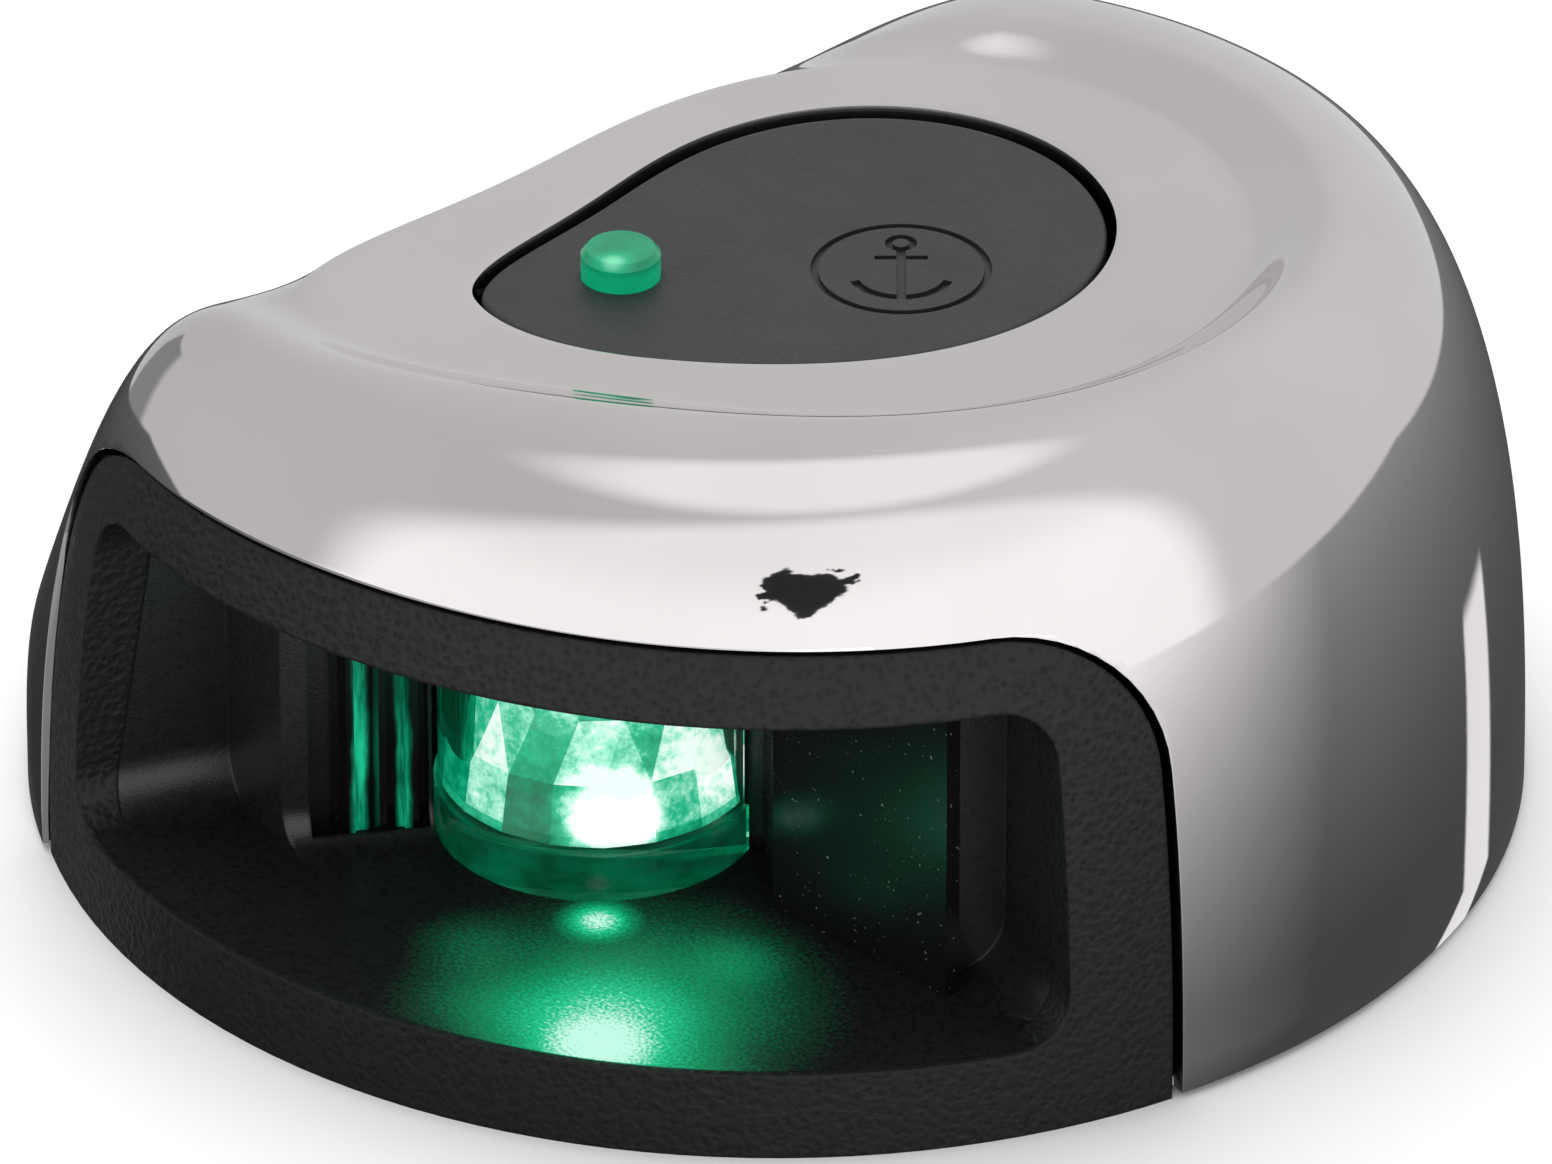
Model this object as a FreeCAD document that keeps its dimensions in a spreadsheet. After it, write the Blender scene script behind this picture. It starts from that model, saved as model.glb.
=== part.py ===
import FreeCAD, Part

import math
import os

# Deck-mounted starboard navigation light, in millimetres.
# Origin: centre of the base on the deck. +X dead ahead, +Y to port (inboard), +Z up.
# Angles are plan angles from +X, seen from above; the light faces the starboard bow, at -56.25 degrees.

doc = FreeCAD.newDocument("NavigationLight")
Vector = FreeCAD.Vector
Rotation = FreeCAD.Rotation
Placement = FreeCAD.Placement

# ---------------------------------------------------------------- driving dimensions

DIMENSIONS = [
    ("cover_radius", 40.0),
    ("cover_wall", 1.2),
    ("cover_bottom", 0.4),
    ("cover_fit_gap", 0.4),
    ("plateau_height", 33.8),
    ("aft_skirt", 7.0),
    ("crest_rise", 1.3),
    ("crest_lean", 0.69),
    ("crest_lean_angle", 16.5),
    ("crest_run", 4.0),
    ("wide_x", 6.3),
    ("wide_y", 4.3),
    ("wide_radius", 17.6),
    ("tip_reach", 33.0),
    ("tip_angle", -115.5),
    ("near_spread", 27.0),
    ("far_spread", 17.5),
    ("window_start", -115.25),
    ("window_span", 108.1),
    ("window_top", 27.8),
    ("window_corner", 8.5),
    ("bezel_inset", 0.35),
    ("bezel_gap", 0.4),
    ("opening_start", -107.35),
    ("opening_span", 91.0),
    ("opening_bottom", 5.0),
    ("opening_top", 23.9),
    ("opening_corner", 3.0),
    ("ceiling_height", 26.0),
    ("roof_height", 27.6),
    ("chamber_wall", 1.6),
    ("chamber_foot_radius", 37.6),
    ("chamber_top_radius", 34.2),
    ("aft_wall_round", 2.2),
    ("source_x", 5.07),
    ("source_y", -16.13),
    ("light_axis", -56.25),
    ("screen_span", 125.0),
    ("forward_screen_start", 12.7),
    ("forward_screen_end", 25.6),
    ("wall_step", 0.35),
    ("wall_step_end", 28.7),
    ("aft_screen_start", 15.3),
    ("baffle_start", 9.0),
    ("baffle_depth", 1.3),
    ("baffle_plate_end", 14.0),
    ("rib_start", 9.4),
    ("rib_pitch", 1.7),
    ("screen_thickness", 1.0),
    ("badge_x", 4.72),
    ("badge_y", 3.1),
    ("badge_radius", 11.85),
    ("badge_reach", 22.05),
    ("badge_angle", -107.75),
    ("badge_near_spread", 37.0),
    ("badge_far_spread", 19.0),
    ("badge_top", 33.5),
    ("badge_thickness", 1.5),
    ("badge_clearance", 0.5),
    ("badge_opening_shift", 0.15),
    ("badge_edge_round", 0.3),
    ("mark_x", 8.76),
    ("mark_y", 1.33),
    ("mark_turn", 141.0),
    ("mark_radius", 4.75),
    ("mark_line", 0.4),
    ("mark_depth", 0.25),
    ("badge_tape_thickness", 0.4),
    ("pipe_x", 0.0),
    ("pipe_y", -10.4),
    ("pipe_radius", 2.1),
    ("pipe_proud", 1.6),
    ("pipe_length", 5.6),
    ("pipe_edge", 0.35),
    ("collar_radius", 3.0),
    ("collar_height", 0.38),
    ("collar_bottom", 31.61),
    ("holder_radius", 3.3),
    ("holder_length", 3.1),
    ("holder_bottom", 26.85),
    ("telltale_board_length", 6.2),
    ("telltale_board_width", 5.2),
    ("telltale_board_thickness", 0.8),
    ("lens_radius", 8.4),
    ("lens_wall", 1.3),
    ("lens_setback", 0.88),
    ("lens_flange", 2.7),
    ("lens_flange_proud", 0.25),
    ("lens_flange_room", 0.35),
    ("lens_gasket_thickness", 0.6),
    ("optic_rim", 6.7),
    ("optic_waist", 4.4),
    ("board_width", 17.6),
    ("board_height", 18.0),
    ("board_bottom", 7.0),
    ("board_thickness", 1.6),
    ("sink_thickness", 1.75),
    ("fin_length", 3.2),
    ("fin_width", 1.0),
    ("emitter_width", 3.5),
    ("emitter_height", 0.7),
    ("flange_radius", 37.9),
    ("flange_thickness", 5.0),
    ("tower_wall", 1.6),
    ("tower_top", 31.6),
    ("tower_ceiling", 30.0),
    ("plate_x", 2.5),
    ("plate_y", -1.5),
    ("plate_radius", 21.5),
    ("plate_thickness", 2.0),
    ("plate_recess", 3.0),
    ("plate_bolt_circle", 18.6),
    ("boss_radius", 2.7),
    ("post_radius", 1.7),
    ("seal_inner", 20.15),
    ("seal_outer", 21.05),
    ("seal_depth", 0.8),
    ("spring_circle", 35.8),
    ("spring_arc", 12.0),
    ("spring_metal", 0.4),
    ("mount_hole_radius", 2.1),
    ("mount_spacing", 56.0),
    ("mount_line", 8.0),
    ("gasket_inner", 31.6),
    ("gasket_outer", 34.4),
    ("gasket_depth", 1.2),
    ("cable_x", 4.7),
    ("cable_y", 2.6),
    ("cable_bore", 2.75),
    ("gland_neck", 3.75),
    ("gland_foot", 5.0),
    ("gland_shoulder", 5.3),
    ("driver_length", 14.0),
    ("driver_width", 12.0),
    ("driver_thickness", 1.2),
]

sheet = doc.addObject("Spreadsheet::Sheet", "Sheet")
for row, (alias, value) in enumerate(DIMENSIONS, start=1):
    sheet.set(f"A{row}", alias)
    sheet.set(f"B{row}", str(value))
    sheet.setAlias(f"B{row}", alias)
doc.recompute()


def size(alias):
    """A driving dimension, read from the sheet."""
    return float(sheet.get(alias))


def cell(alias):
    """The expression that binds a property to a cell of the sheet."""
    return f"Sheet.{alias}"


# ---------------------------------------------------------------- small builders

def bind(thing, **expressions):
    """Bind properties of an object to expressions over the sheet."""
    for name, expression in expressions.items():
        thing.setExpression(name, expression)
    return thing


def place(thing, **expressions):
    """Bind the placement of an object: x, y, z, or angle about +Z."""
    paths = {"x": "Placement.Base.x", "y": "Placement.Base.y", "z": "Placement.Base.z",
             "angle": "Placement.Rotation.Angle"}
    if "angle" in expressions:
        thing.Placement = Placement(Vector(), Rotation(Vector(0, 0, 1), 30))
    for name, expression in expressions.items():
        thing.setExpression(paths[name], expression)
    return thing


def cylinder(name, radius, height, **where):
    thing = bind(doc.addObject("Part::Cylinder", name), Radius=radius, Height=height)
    return place(thing, **where)


def cone(name, low_radius, high_radius, height, **where):
    thing = bind(doc.addObject("Part::Cone", name), Radius1=low_radius, Radius2=high_radius, Height=height)
    return place(thing, **where)


def box(name, length, width, height, **where):
    thing = bind(doc.addObject("Part::Box", name), Length=length, Width=width, Height=height)
    return place(thing, **where)


def cut(name, base, tool):
    thing = doc.addObject("Part::Cut", name)
    thing.Base = base
    thing.Tool = tool
    return thing


def common(name, first, second):
    thing = doc.addObject("Part::Common", name)
    thing.Base = first
    thing.Tool = second
    return thing


def fuse(name, *shapes):
    thing = doc.addObject("Part::MultiFuse", name)
    thing.Shapes = list(shapes)
    thing.Refine = True
    return thing


def compound(name, *shapes):
    thing = doc.addObject("Part::Compound", name)
    thing.Links = list(shapes)
    return thing


def feature(name, shape):
    """A free-form shape that neither sketches nor primitives can give."""
    thing = doc.addObject("Part::Feature", name)
    thing.Shape = shape
    return thing


def ring(name, inner, outer, height, **where):
    """A flat ring as the difference of two cylinders."""
    outside = cylinder(name + "_outside", outer, height, **where)
    inside = cylinder(name + "_inside", inner, height, **where)
    return cut(name, outside, inside)


def ring_sector(name, inner, outer, start, span, height, **where):
    """Part of a flat ring, from a start angle over a span."""
    outside = cylinder(name + "_outside", outer, height, angle=start, **where)
    bind(outside, Angle=span)
    inside = cylinder(name + "_inside", inner, height, **where)
    return cut(name, outside, inside)


def fillet_edges(name, base, radius, chosen):
    """Round the edges of a base that a test chooses."""
    doc.recompute()
    rounds = []
    for number, edge in enumerate(base.Shape.Edges, start=1):
        if chosen(edge):
            rounds.append((number, radius, radius))
    thing = doc.addObject("Part::Fillet", name)
    thing.Base = base
    thing.Edges = rounds
    return thing


def radial_edge_at(*heights):
    """A test for straight, level edges at the given heights."""
    def chosen(edge):
        if not isinstance(edge.Curve, Part.Line):
            return False
        low, high = edge.Vertexes[0].Point.z, edge.Vertexes[-1].Point.z
        return abs(low - high) < 1e-6 and any(abs(low - height) < 1e-6 for height in heights)
    return chosen


def polar(radius, degrees, height=0.0):
    angle = math.radians(degrees)
    return Vector(radius * math.cos(angle), radius * math.sin(angle), height)


# ---------------------------------------------------------------- the sculpted form

BISECTIONS = 50

def smooth_step(value):
    value = min(max(value, 0.0), 1.0)
    return value * value * (3 - 2 * value)


def turn_between(angle, start):
    """The turn from start to angle, in degrees, between -180 and 180."""
    return (angle - start + 180) % 360 - 180


def egg_reach(turn, round_radius, reach, near_spread, far_spread):
    """Distance from an egg's round centre to its outline, at a turn from its narrow tip."""
    spread = near_spread if turn > 0 else far_spread
    floor = 1 / (1 + (180 / spread) ** 2)
    bump = (1 / (1 + (turn / spread) ** 2) - floor) / (1 - floor)
    return round_radius + (reach - round_radius) * bump


def egg_point(degrees, centre, tip_angle, egg):
    """A point of an egg outline in the direction of a plan angle from its round centre."""
    reach = egg_reach(turn_between(degrees, tip_angle), *egg)
    return centre + polar(reach, degrees)


def egg_radius_about_origin(degrees, centre, tip_angle, egg):
    """Distance from the origin to an egg outline that holds the origin, by bisection."""
    low, high = 0.0, FAR
    for _ in range(BISECTIONS):
        middle = (low + high) / 2
        offset = polar(middle, degrees) - centre
        direction = math.degrees(math.atan2(offset.y, offset.x))
        inside = offset.Length < egg_reach(turn_between(direction, tip_angle), *egg)
        low, high = (middle, high) if inside else (low, middle)
    return (low + high) / 2


# Reaches that lie well outside the light, for tools that cut right through.
FAR = 60.0
UNDER = -10.0
OVER = 40.0

PLATEAU = (Vector(size("wide_x"), size("wide_y"), 0), size("tip_angle"),
           (size("wide_radius"), size("tip_reach"), size("near_spread"), size("far_spread")))

# Plan angles where the raised band starts to rise, stands full, starts to fall and has gone.
BAND_RISES, BAND_FULL, BAND_FALLS, BAND_GONE = -134.6, -98.0, 105.7, 165.4
AFT_SKEW = 14.1
PORT_SKEW = 5.8
CREST_STEPS = (0.0, 0.16, 0.36, 0.62, 1.0)
SHOULDER_STEPS = tuple(range(12, 91, 13))
SHOULDER_ACROSS = 2.11
SHOULDER_DOWN = 2.41
RING_POINTS = 72
CREST_FULLNESS = 1.4
SEWING_GAP = 1e-4


def band_weight(degrees, share):
    """1 where the raised band stands, falling smoothly to 0 aft, and sooner near the plateau."""
    angle = turn_between(degrees, 0)
    if angle < 0:
        return smooth_step((angle + AFT_SKEW * share - BAND_RISES) / (BAND_FULL - BAND_RISES))
    return smooth_step((BAND_GONE + PORT_SKEW * share - angle) / (BAND_GONE - BAND_FALLS))


def form_profile(degrees):
    """Radius and height from the plateau's edge down to the base, at one plan angle."""
    edge = egg_radius_about_origin(degrees, *PLATEAU)
    top, skirt = size("plateau_height"), size("aft_skirt")
    run, outer = size("crest_run"), size("cover_radius")
    lean = math.cos(math.radians(degrees - size("crest_lean_angle")))
    rise = size("crest_rise") + size("crest_lean") * lean
    band = [(edge + run * step, top + rise * math.sin(math.pi / 2 * step ** CREST_FULLNESS))
            for step in CREST_STEPS]
    for step in SHOULDER_STEPS:
        across = math.sin(math.radians(step)) ** (2 / SHOULDER_ACROSS)
        down = max(math.cos(math.radians(step)), 0.0) ** (2 / SHOULDER_DOWN)
        band.append((edge + run + (outer - edge - run) * across, (top + rise) * down))
    profile = []
    for radius, height in band:
        share = (radius - edge) / (outer - edge)
        weight = band_weight(degrees, share)
        aft_height = skirt + (top - skirt) * (1 - share)
        profile.append((radius, weight * height + (1 - weight) * aft_height))
    profile[-1] = (outer, 0.0)
    return profile


def inset_profile(profile, inset, bottom):
    """The profile moved inwards along its own normals, and carried straight down to a bottom."""
    moved = []
    last = len(profile) - 1
    for index, (radius, height) in enumerate(profile):
        before = profile[max(index - 1, 0)]
        after = profile[min(index + 1, last)]
        across, drop = after[0] - before[0], before[1] - after[1]
        length = math.hypot(across, drop)
        normal = (drop / length, across / length)
        if index == 0:
            normal = (0.0, 1.0)
        if index == last:
            normal = (1.0, 0.0)
        moved.append((radius - inset * normal[0], height - inset * normal[1]))
    moved[-1] = (moved[-1][0], bottom)
    return moved


def periodic_rings(profiles, angles):
    """B-spline curves, one for each height step, that close smoothly round the axis."""
    parameters = [index / len(angles) for index in range(len(angles) + 1)]
    curves = []
    for level in range(len(profiles[0])):
        points = [polar(profile[level][0], angle, profile[level][1])
                  for profile, angle in zip(profiles, angles)]
        curve = Part.BSplineCurve()
        curve.interpolate(Points=points, PeriodicFlag=True, Parameters=parameters)
        curves.append(curve)
    return curves


def surface_through(rings):
    """The smooth surface through closed rings, curved across them as well as along them."""
    ring_poles = [curve.getPoles() for curve in rings]
    spans = [sum((a - b).Length for a, b in zip(low, high)) / len(low)
             for low, high in zip(ring_poles, ring_poles[1:])]
    parameters = [0.0]
    for span in spans:
        parameters.append(parameters[-1] + span)
    rows = []
    for column in zip(*ring_poles):
        across = Part.BSplineCurve()
        across.interpolate(Points=list(column), Parameters=parameters)
        rows.append(across.getPoles())
    surface = Part.BSplineSurface()
    surface.buildFromPolesMultsKnots(rows, rings[0].getMultiplicities(), across.getMultiplicities(),
                                     rings[0].getKnots(), across.getKnots(), True, False,
                                     rings[0].Degree, across.Degree)
    return surface


def sculpted_solid(inset, bottom):
    """The light's outer form, moved inwards by an inset and standing on a bottom height."""
    angles = [index * 360 / RING_POINTS - 180 for index in range(RING_POINTS)]
    profiles = [inset_profile(form_profile(angle), inset, bottom) for angle in angles]
    rings = periodic_rings(profiles, angles)
    faces = [surface_through(rings).toShape()]
    for curve in (rings[0], rings[-1]):
        faces.append(Part.Face(Part.Wire([curve.toShape()])))
    skin = Part.Compound(faces)
    skin.sewShape(SEWING_GAP)
    solid = Part.Solid(Part.Shell(skin.Faces))
    if solid.Volume < 0:
        solid.reverse()
    return solid


def egg_prism(name, egg, low, high):
    """An upright prism over an egg outline, given as its centre, tip angle and sizes."""
    near_tip = range(0, 30, 6)
    turns = [*near_tip, *range(30, 331, 15), *(turn + 336 for turn in near_tip if turn < 24)]
    points = [egg_point(egg[1] + turn, *egg) + Vector(0, 0, low) for turn in turns]
    outline = Part.BSplineCurve()
    outline.interpolate(Points=points, PeriodicFlag=True)
    face = Part.Face(Part.Wire([outline.toShape()]))
    return feature(name, face.extrude(Vector(0, 0, high - low)))


def badge_egg(offset, shift=0.0):
    """The badge's outline, moved out by an offset and shifted away from its narrow tip."""
    away = size("badge_angle") + 160
    centre = Vector(size("badge_x"), size("badge_y"), 0) + polar(shift, away)
    sizes = (size("badge_radius") + offset, size("badge_reach") + offset,
             size("badge_near_spread"), size("badge_far_spread"))
    return centre, size("badge_angle"), sizes


def aim(thing):
    """Move a thing from the light source's own frame, facing +X, to its place in the light."""
    thing.Placement = Placement(Vector(), Rotation(Vector(0, 0, 1), 30))
    return bind(thing, **{"Placement.Base.x": cell("source_x"), "Placement.Base.y": cell("source_y"),
                          "Placement.Rotation.Angle": cell("light_axis")})


# ---------------------------------------------------------------- cover

def window_block(name, inner, gap=None):
    """The rounded window as a block from an inner radius outwards, less a named gap all round."""
    margin = cell(gap) if gap else "0"
    narrower = size(gap) if gap else 0.0
    degrees = f"{margin} / Sheet.flange_radius * 180 / pi"
    sector = ring_sector(name + "_sector", inner, f"{FAR}",
                         f"Sheet.window_start + {degrees}", f"Sheet.window_span - 2 * {degrees}",
                         f"Sheet.window_top - {UNDER} - {margin}", z=f"{UNDER}")
    top = size("window_top") - narrower
    return fillet_edges(name, sector, size("window_corner") - narrower, radial_edge_at(top))


def make_cover():
    """The polished steel shell, with its window over the lens and its opening for the badge."""
    outside = feature("cover_outside", sculpted_solid(0.0, size("cover_bottom")))
    inside = feature("cover_inside", sculpted_solid(size("cover_wall"), -1.0))
    shell = cut("cover_shell", outside, inside)
    windowed = cut("cover_windowed", shell, window_block("cover_window", "25"))
    outline = badge_egg(size("badge_clearance"), size("badge_opening_shift"))
    opening = egg_prism("cover_badge_opening", outline, size("tower_ceiling"), OVER)
    return cut("cover", windowed, opening)


# ---------------------------------------------------------------- housing

SCREW_ANGLES = (-15.0, 65.0, 145.0, 225.0)
SPRING_ANGLES = (28.0, 100.0, 196.0)
# The driver bay's box behind the lens: its back, half its width, and the chamber's back wall.
BOX_BACK = -14.0
BOX_HALF = 11.0
BACK_WALL = 0.28
LENS_POCKET_HALF = 9.2
PILOT_RADIUS = 0.93


def prism(name, points, low, high):
    """An upright prism over a polygon."""
    wire = Part.makePolygon([Vector(x, y, low) for x, y in points + points[:1]])
    return feature(name, Part.Face(wire).extrude(Vector(0, 0, high - low)))


def along(distance, degrees, aside=0.0):
    """A point at a distance along a ray from the light source, moved aside to its left."""
    point = polar(distance, degrees) + polar(aside, degrees + 90)
    return point.x, point.y


def chamber_outline(out):
    """The light chamber in the light source's frame, with its walls moved out."""
    half = size("screen_span") / 2
    return [
        (BACK_WALL - out, LENS_POCKET_HALF + out),
        along(size("forward_screen_start"), half, size("screen_thickness") + out),
        along(size("forward_screen_end"), half, size("screen_thickness") + out),
        along(size("forward_screen_end"), half, size("wall_step") + out),
        along(size("wall_step_end"), half, size("wall_step") + out),
        along(size("wall_step_end"), half, size("screen_thickness") + out),
        along(FAR, half, size("screen_thickness") + out),
        (1.5 * FAR, FAR),
        (1.5 * FAR, -FAR),
        (12.0 - out, -35.0),
        (8.0 - out, -27.0),
        along(26.0, -half, -out),
        along(8.8, -half, -out),
        (2.9, -LENS_POCKET_HALF - out),
        (BACK_WALL - out, -LENS_POCKET_HALF - out),
    ]


def make_chamber_cavity():
    """The light chamber's hollow, with its aft wall running into the floor in a round."""
    low, high = size("opening_bottom"), size("ceiling_height")
    plan = aim(prism("chamber_plan", chamber_outline(0.0), low, high))

    def foot_of_aft_wall(edge):
        points = [vertex.Point for vertex in edge.Vertexes]
        level = all(abs(point.z - low) < 1e-6 for point in points)
        return level and 16.0 < edge.Length < 18.0
    rounded = fillet_edges("chamber_rounded", plan, size("aft_wall_round"), foot_of_aft_wall)
    limit = cone("chamber_limit", cell("chamber_foot_radius"), cell("chamber_top_radius"),
                 "Sheet.ceiling_height - Sheet.opening_bottom", z=cell("opening_bottom"))
    lens_room = aim(half_disc("lens_room", "Sheet.lens_radius + Sheet.lens_flange_room",
                              "Sheet.lens_setback - Sheet.lens_gasket_thickness", low, high))
    return fuse("chamber_cavity", common("chamber_ended", rounded, limit), lens_room)


def make_opening():
    """The bezel's window, cut from the chamber out to the open air."""
    low, high = size("opening_bottom"), size("opening_top")
    sector = ring_sector("opening_sector", "31", f"{FAR}", cell("opening_start"), cell("opening_span"),
                         "Sheet.opening_top - Sheet.opening_bottom", z=cell("opening_bottom"))
    return fillet_edges("opening", sector, size("opening_corner"), radial_edge_at(low, high))


def bay_box(name, wall, low, high):
    """The bay's box behind the lens in the source's frame, with its sides moved in by a wall."""
    back, front, half = BOX_BACK + wall, BACK_WALL - wall, BOX_HALF - wall
    return aim(prism(name, [(back, -half), (front, -half), (front, half), (back, half)], low, high))


def make_driver_bay():
    """The sealed space behind the lens and under the badge."""
    wall = size("tower_wall")
    floor = size("plate_recess") - 0.5
    top = size("tower_top") - size("tower_ceiling")
    box_outer = bay_box("bay_outer", 0.0, 0.0, size("roof_height"))
    box_inner = bay_box("bay_inner", wall, floor, size("roof_height") - top)
    tower_outer = egg_prism("tower_outer", badge_egg(-0.7), 0.0, size("tower_top"))
    tower_whole = egg_prism("tower_whole", badge_egg(-0.7 - wall), floor, size("tower_ceiling"))
    front = BACK_WALL - wall
    behind = aim(prism("behind_lens", [(-FAR, -FAR), (front, -FAR), (front, FAR), (-FAR, FAR)], 0.0, OVER))
    tower_inner = common("tower_inner", tower_whole, behind)
    return fuse("bay_solid", box_outer, tower_outer), fuse("bay_hollow", box_inner, tower_inner)


def plate_screw_places():
    centre = Vector(size("plate_x"), size("plate_y"), 0)
    return [centre + polar(size("plate_bolt_circle"), angle) for angle in SCREW_ANGLES]


def spring_places():
    return [polar(size("spring_circle"), angle) for angle in SPRING_ANGLES]


def pegs(name, radius, low, high, places):
    """Identical upright cylinders at several places."""
    pieces = []
    for number, spot in enumerate(places, start=1):
        pieces.append(cylinder(f"{name}_{number}", f"{radius}", f"{high - low}",
                               x=f"{spot.x}", y=f"{spot.y}", z=f"{low}"))
    return compound(name, *pieces) if len(pieces) > 1 else pieces[0]


def make_housing_solid(bay_solid):
    """The moulding before its hollows: flange, bezel, chamber walls, bay walls and screw bosses."""
    flange = cylinder("flange", cell("flange_radius"), cell("flange_thickness"))
    envelope = feature("housing_envelope", sculpted_solid(size("cover_wall") + size("cover_fit_gap"), 0.0))
    face = feature("bezel_form", sculpted_solid(size("bezel_inset"), 0.0))
    bezel = common("bezel", face, window_block("bezel_block", "30", "bezel_gap"))
    walls = chamber_outline(size("chamber_wall"))
    chamber_outer = aim(prism("chamber_outer", walls, 0.0, size("roof_height")))
    reach = cylinder("chamber_reach", "37", f"{OVER}")
    chamber_shell = common("chamber_shell", chamber_outer, reach)
    inner_solid = fuse("inner_solid", chamber_shell, bay_solid)
    inner_fitted = common("inner_fitted", inner_solid, envelope)
    bosses = pegs("plate_bosses", size("boss_radius"), 2.0, 10.0, plate_screw_places())
    return fuse("housing_whole", flange, bezel, inner_fitted, bosses)


def make_small_cuts():
    """The moulding's gasket groove, screw holes, tell-tale hole and window for the light's board."""
    groove = ring("gasket_groove", "Sheet.gasket_inner - 0.1", "Sheet.gasket_outer + 0.1",
                  cell("gasket_depth"))
    mounts = compound("mount_holes", *[
        cylinder(f"mount_hole_{side}", cell("mount_hole_radius"), "12", z="-2",
                 x=f"{sign} * Sheet.mount_spacing / 2", y=cell("mount_line"))
        for side, sign in (("fore", 1), ("aft", -1))])
    pilots = pegs("plate_pilots", PILOT_RADIUS, 2.0, 8.6, plate_screw_places())
    spring_pilots = pegs("spring_pilots", PILOT_RADIUS, 1.4, 6.0, spring_places())
    pipe_hole = cylinder("pipe_hole", "Sheet.pipe_radius + 0.1", "6",
                         x=cell("pipe_x"), y=cell("pipe_y"), z="28")
    led_window = aim(prism("led_window", [(-2.0, -4.5), (1.0, -4.5), (1.0, 4.5), (-2.0, 4.5)], 8.5, 21.5))
    fixing_holes = aim(board_fixings("fixing_holes", 0.83, -3.0, 0.0))
    return compound("small_cuts", groove, mounts, pilots, spring_pilots, pipe_hole, led_window, fixing_holes)


def make_housing():
    """The black moulding: deck flange, window bezel, light chamber and driver bay in one piece."""
    bay_solid, bay_hollow = make_driver_bay()
    whole = make_housing_solid(bay_solid)
    recess = cylinder("plate_seat", "Sheet.plate_radius + 0.15", cell("plate_recess"),
                      x=cell("plate_x"), y=cell("plate_y"))
    hollows = fuse("hollows", make_chamber_cavity(), make_opening(), bay_hollow, recess, make_baffle_slot())
    return cut("housing", cut("housing_opened", whole, hollows), make_small_cuts())


# ---------------------------------------------------------------- light unit

INSERT_GAP = 0.02


def make_baffle_slot():
    """The pocket in the aft screen that holds the ribbed insert."""
    half = size("screen_span") / 2
    start, end, depth = size("baffle_start"), size("aft_screen_start"), size("baffle_depth")
    mouth = 0.6
    return aim(prism("baffle_slot", [along(start, -half, mouth), along(start, -half, -depth),
                                     along(end, -half, -depth), along(end, -half, mouth)],
                     size("opening_bottom"), size("ceiling_height")))


def insert_heights():
    """The foot and top of the two inserts that stand in the chamber."""
    return size("opening_bottom") + INSERT_GAP, size("ceiling_height") - 0.05


def make_aft_baffle():
    """The ribbed insert beside the lens that stops light leaking aft."""
    half = size("screen_span") / 2
    low, high = insert_heights()
    start, end = size("baffle_start") + INSERT_GAP, size("baffle_plate_end")
    back, face = INSERT_GAP - size("baffle_depth"), -0.7
    plate = prism("baffle_plate", [along(start, -half, back), along(end, -half, back),
                                   along(end, -half, face), along(start, -half, face)], low, high)
    ribs = []
    for number in range(3):
        foot = size("rib_start") + size("rib_pitch") * number
        outline = [along(foot, -half, face - 0.2), along(foot + 0.9, -half, face - 0.2),
                   along(foot + 0.55, -half, 0.25), along(foot + 0.15, -half, 0.25)]
        ribs.append(prism(f"baffle_rib_{number + 1}", outline, low, high))
    return aim(fuse("aft_baffle", plate, *ribs))


def make_forward_screen():
    """The glossy insert that cuts the light off ahead."""
    half = size("screen_span") / 2
    low, high = insert_heights()
    thick = size("screen_thickness") - INSERT_GAP
    start = size("forward_screen_start") + 0.3
    end = size("forward_screen_end") - INSERT_GAP
    return aim(prism("forward_screen", [along(start, half, 0.0), along(end, half, 0.0),
                                        along(end, half, thick), along(start, half, thick)], low, high))


def half_disc(name, radius, setback, low, high):
    """A disc in the source's frame with its back cut away at a setback in front of the axis."""
    disc = cylinder(name + "_disc", radius, f"{high} - {low}", z=f"{low}")
    keep = box(name + "_keep", f"{FAR}", f"{2 * FAR}", f"{FAR}", x=setback, y=f"{-FAR}", z=f"{UNDER}")
    return common(name, disc, keep)


def make_lens():
    """The clear half-round lens with its thick foot, hollow and open at the back."""
    low, high = size("opening_bottom") + 0.05, size("ceiling_height") - 0.1
    foot_top = low + size("lens_flange")
    barrel = half_disc("lens_barrel", cell("lens_radius"), cell("lens_setback"), low, high)
    foot = half_disc("lens_foot", "Sheet.lens_radius + Sheet.lens_flange_proud", cell("lens_setback"),
                     low, foot_top)
    hollow = half_disc("lens_hollow", "Sheet.lens_radius - Sheet.lens_wall", "Sheet.lens_setback - 1",
                       foot_top, high - 1.5)
    return aim(cut("lens", fuse("lens_solid", barrel, foot), hollow))


OPTIC_SIDES = 16
OPTIC_BACK = 1.9


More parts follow.
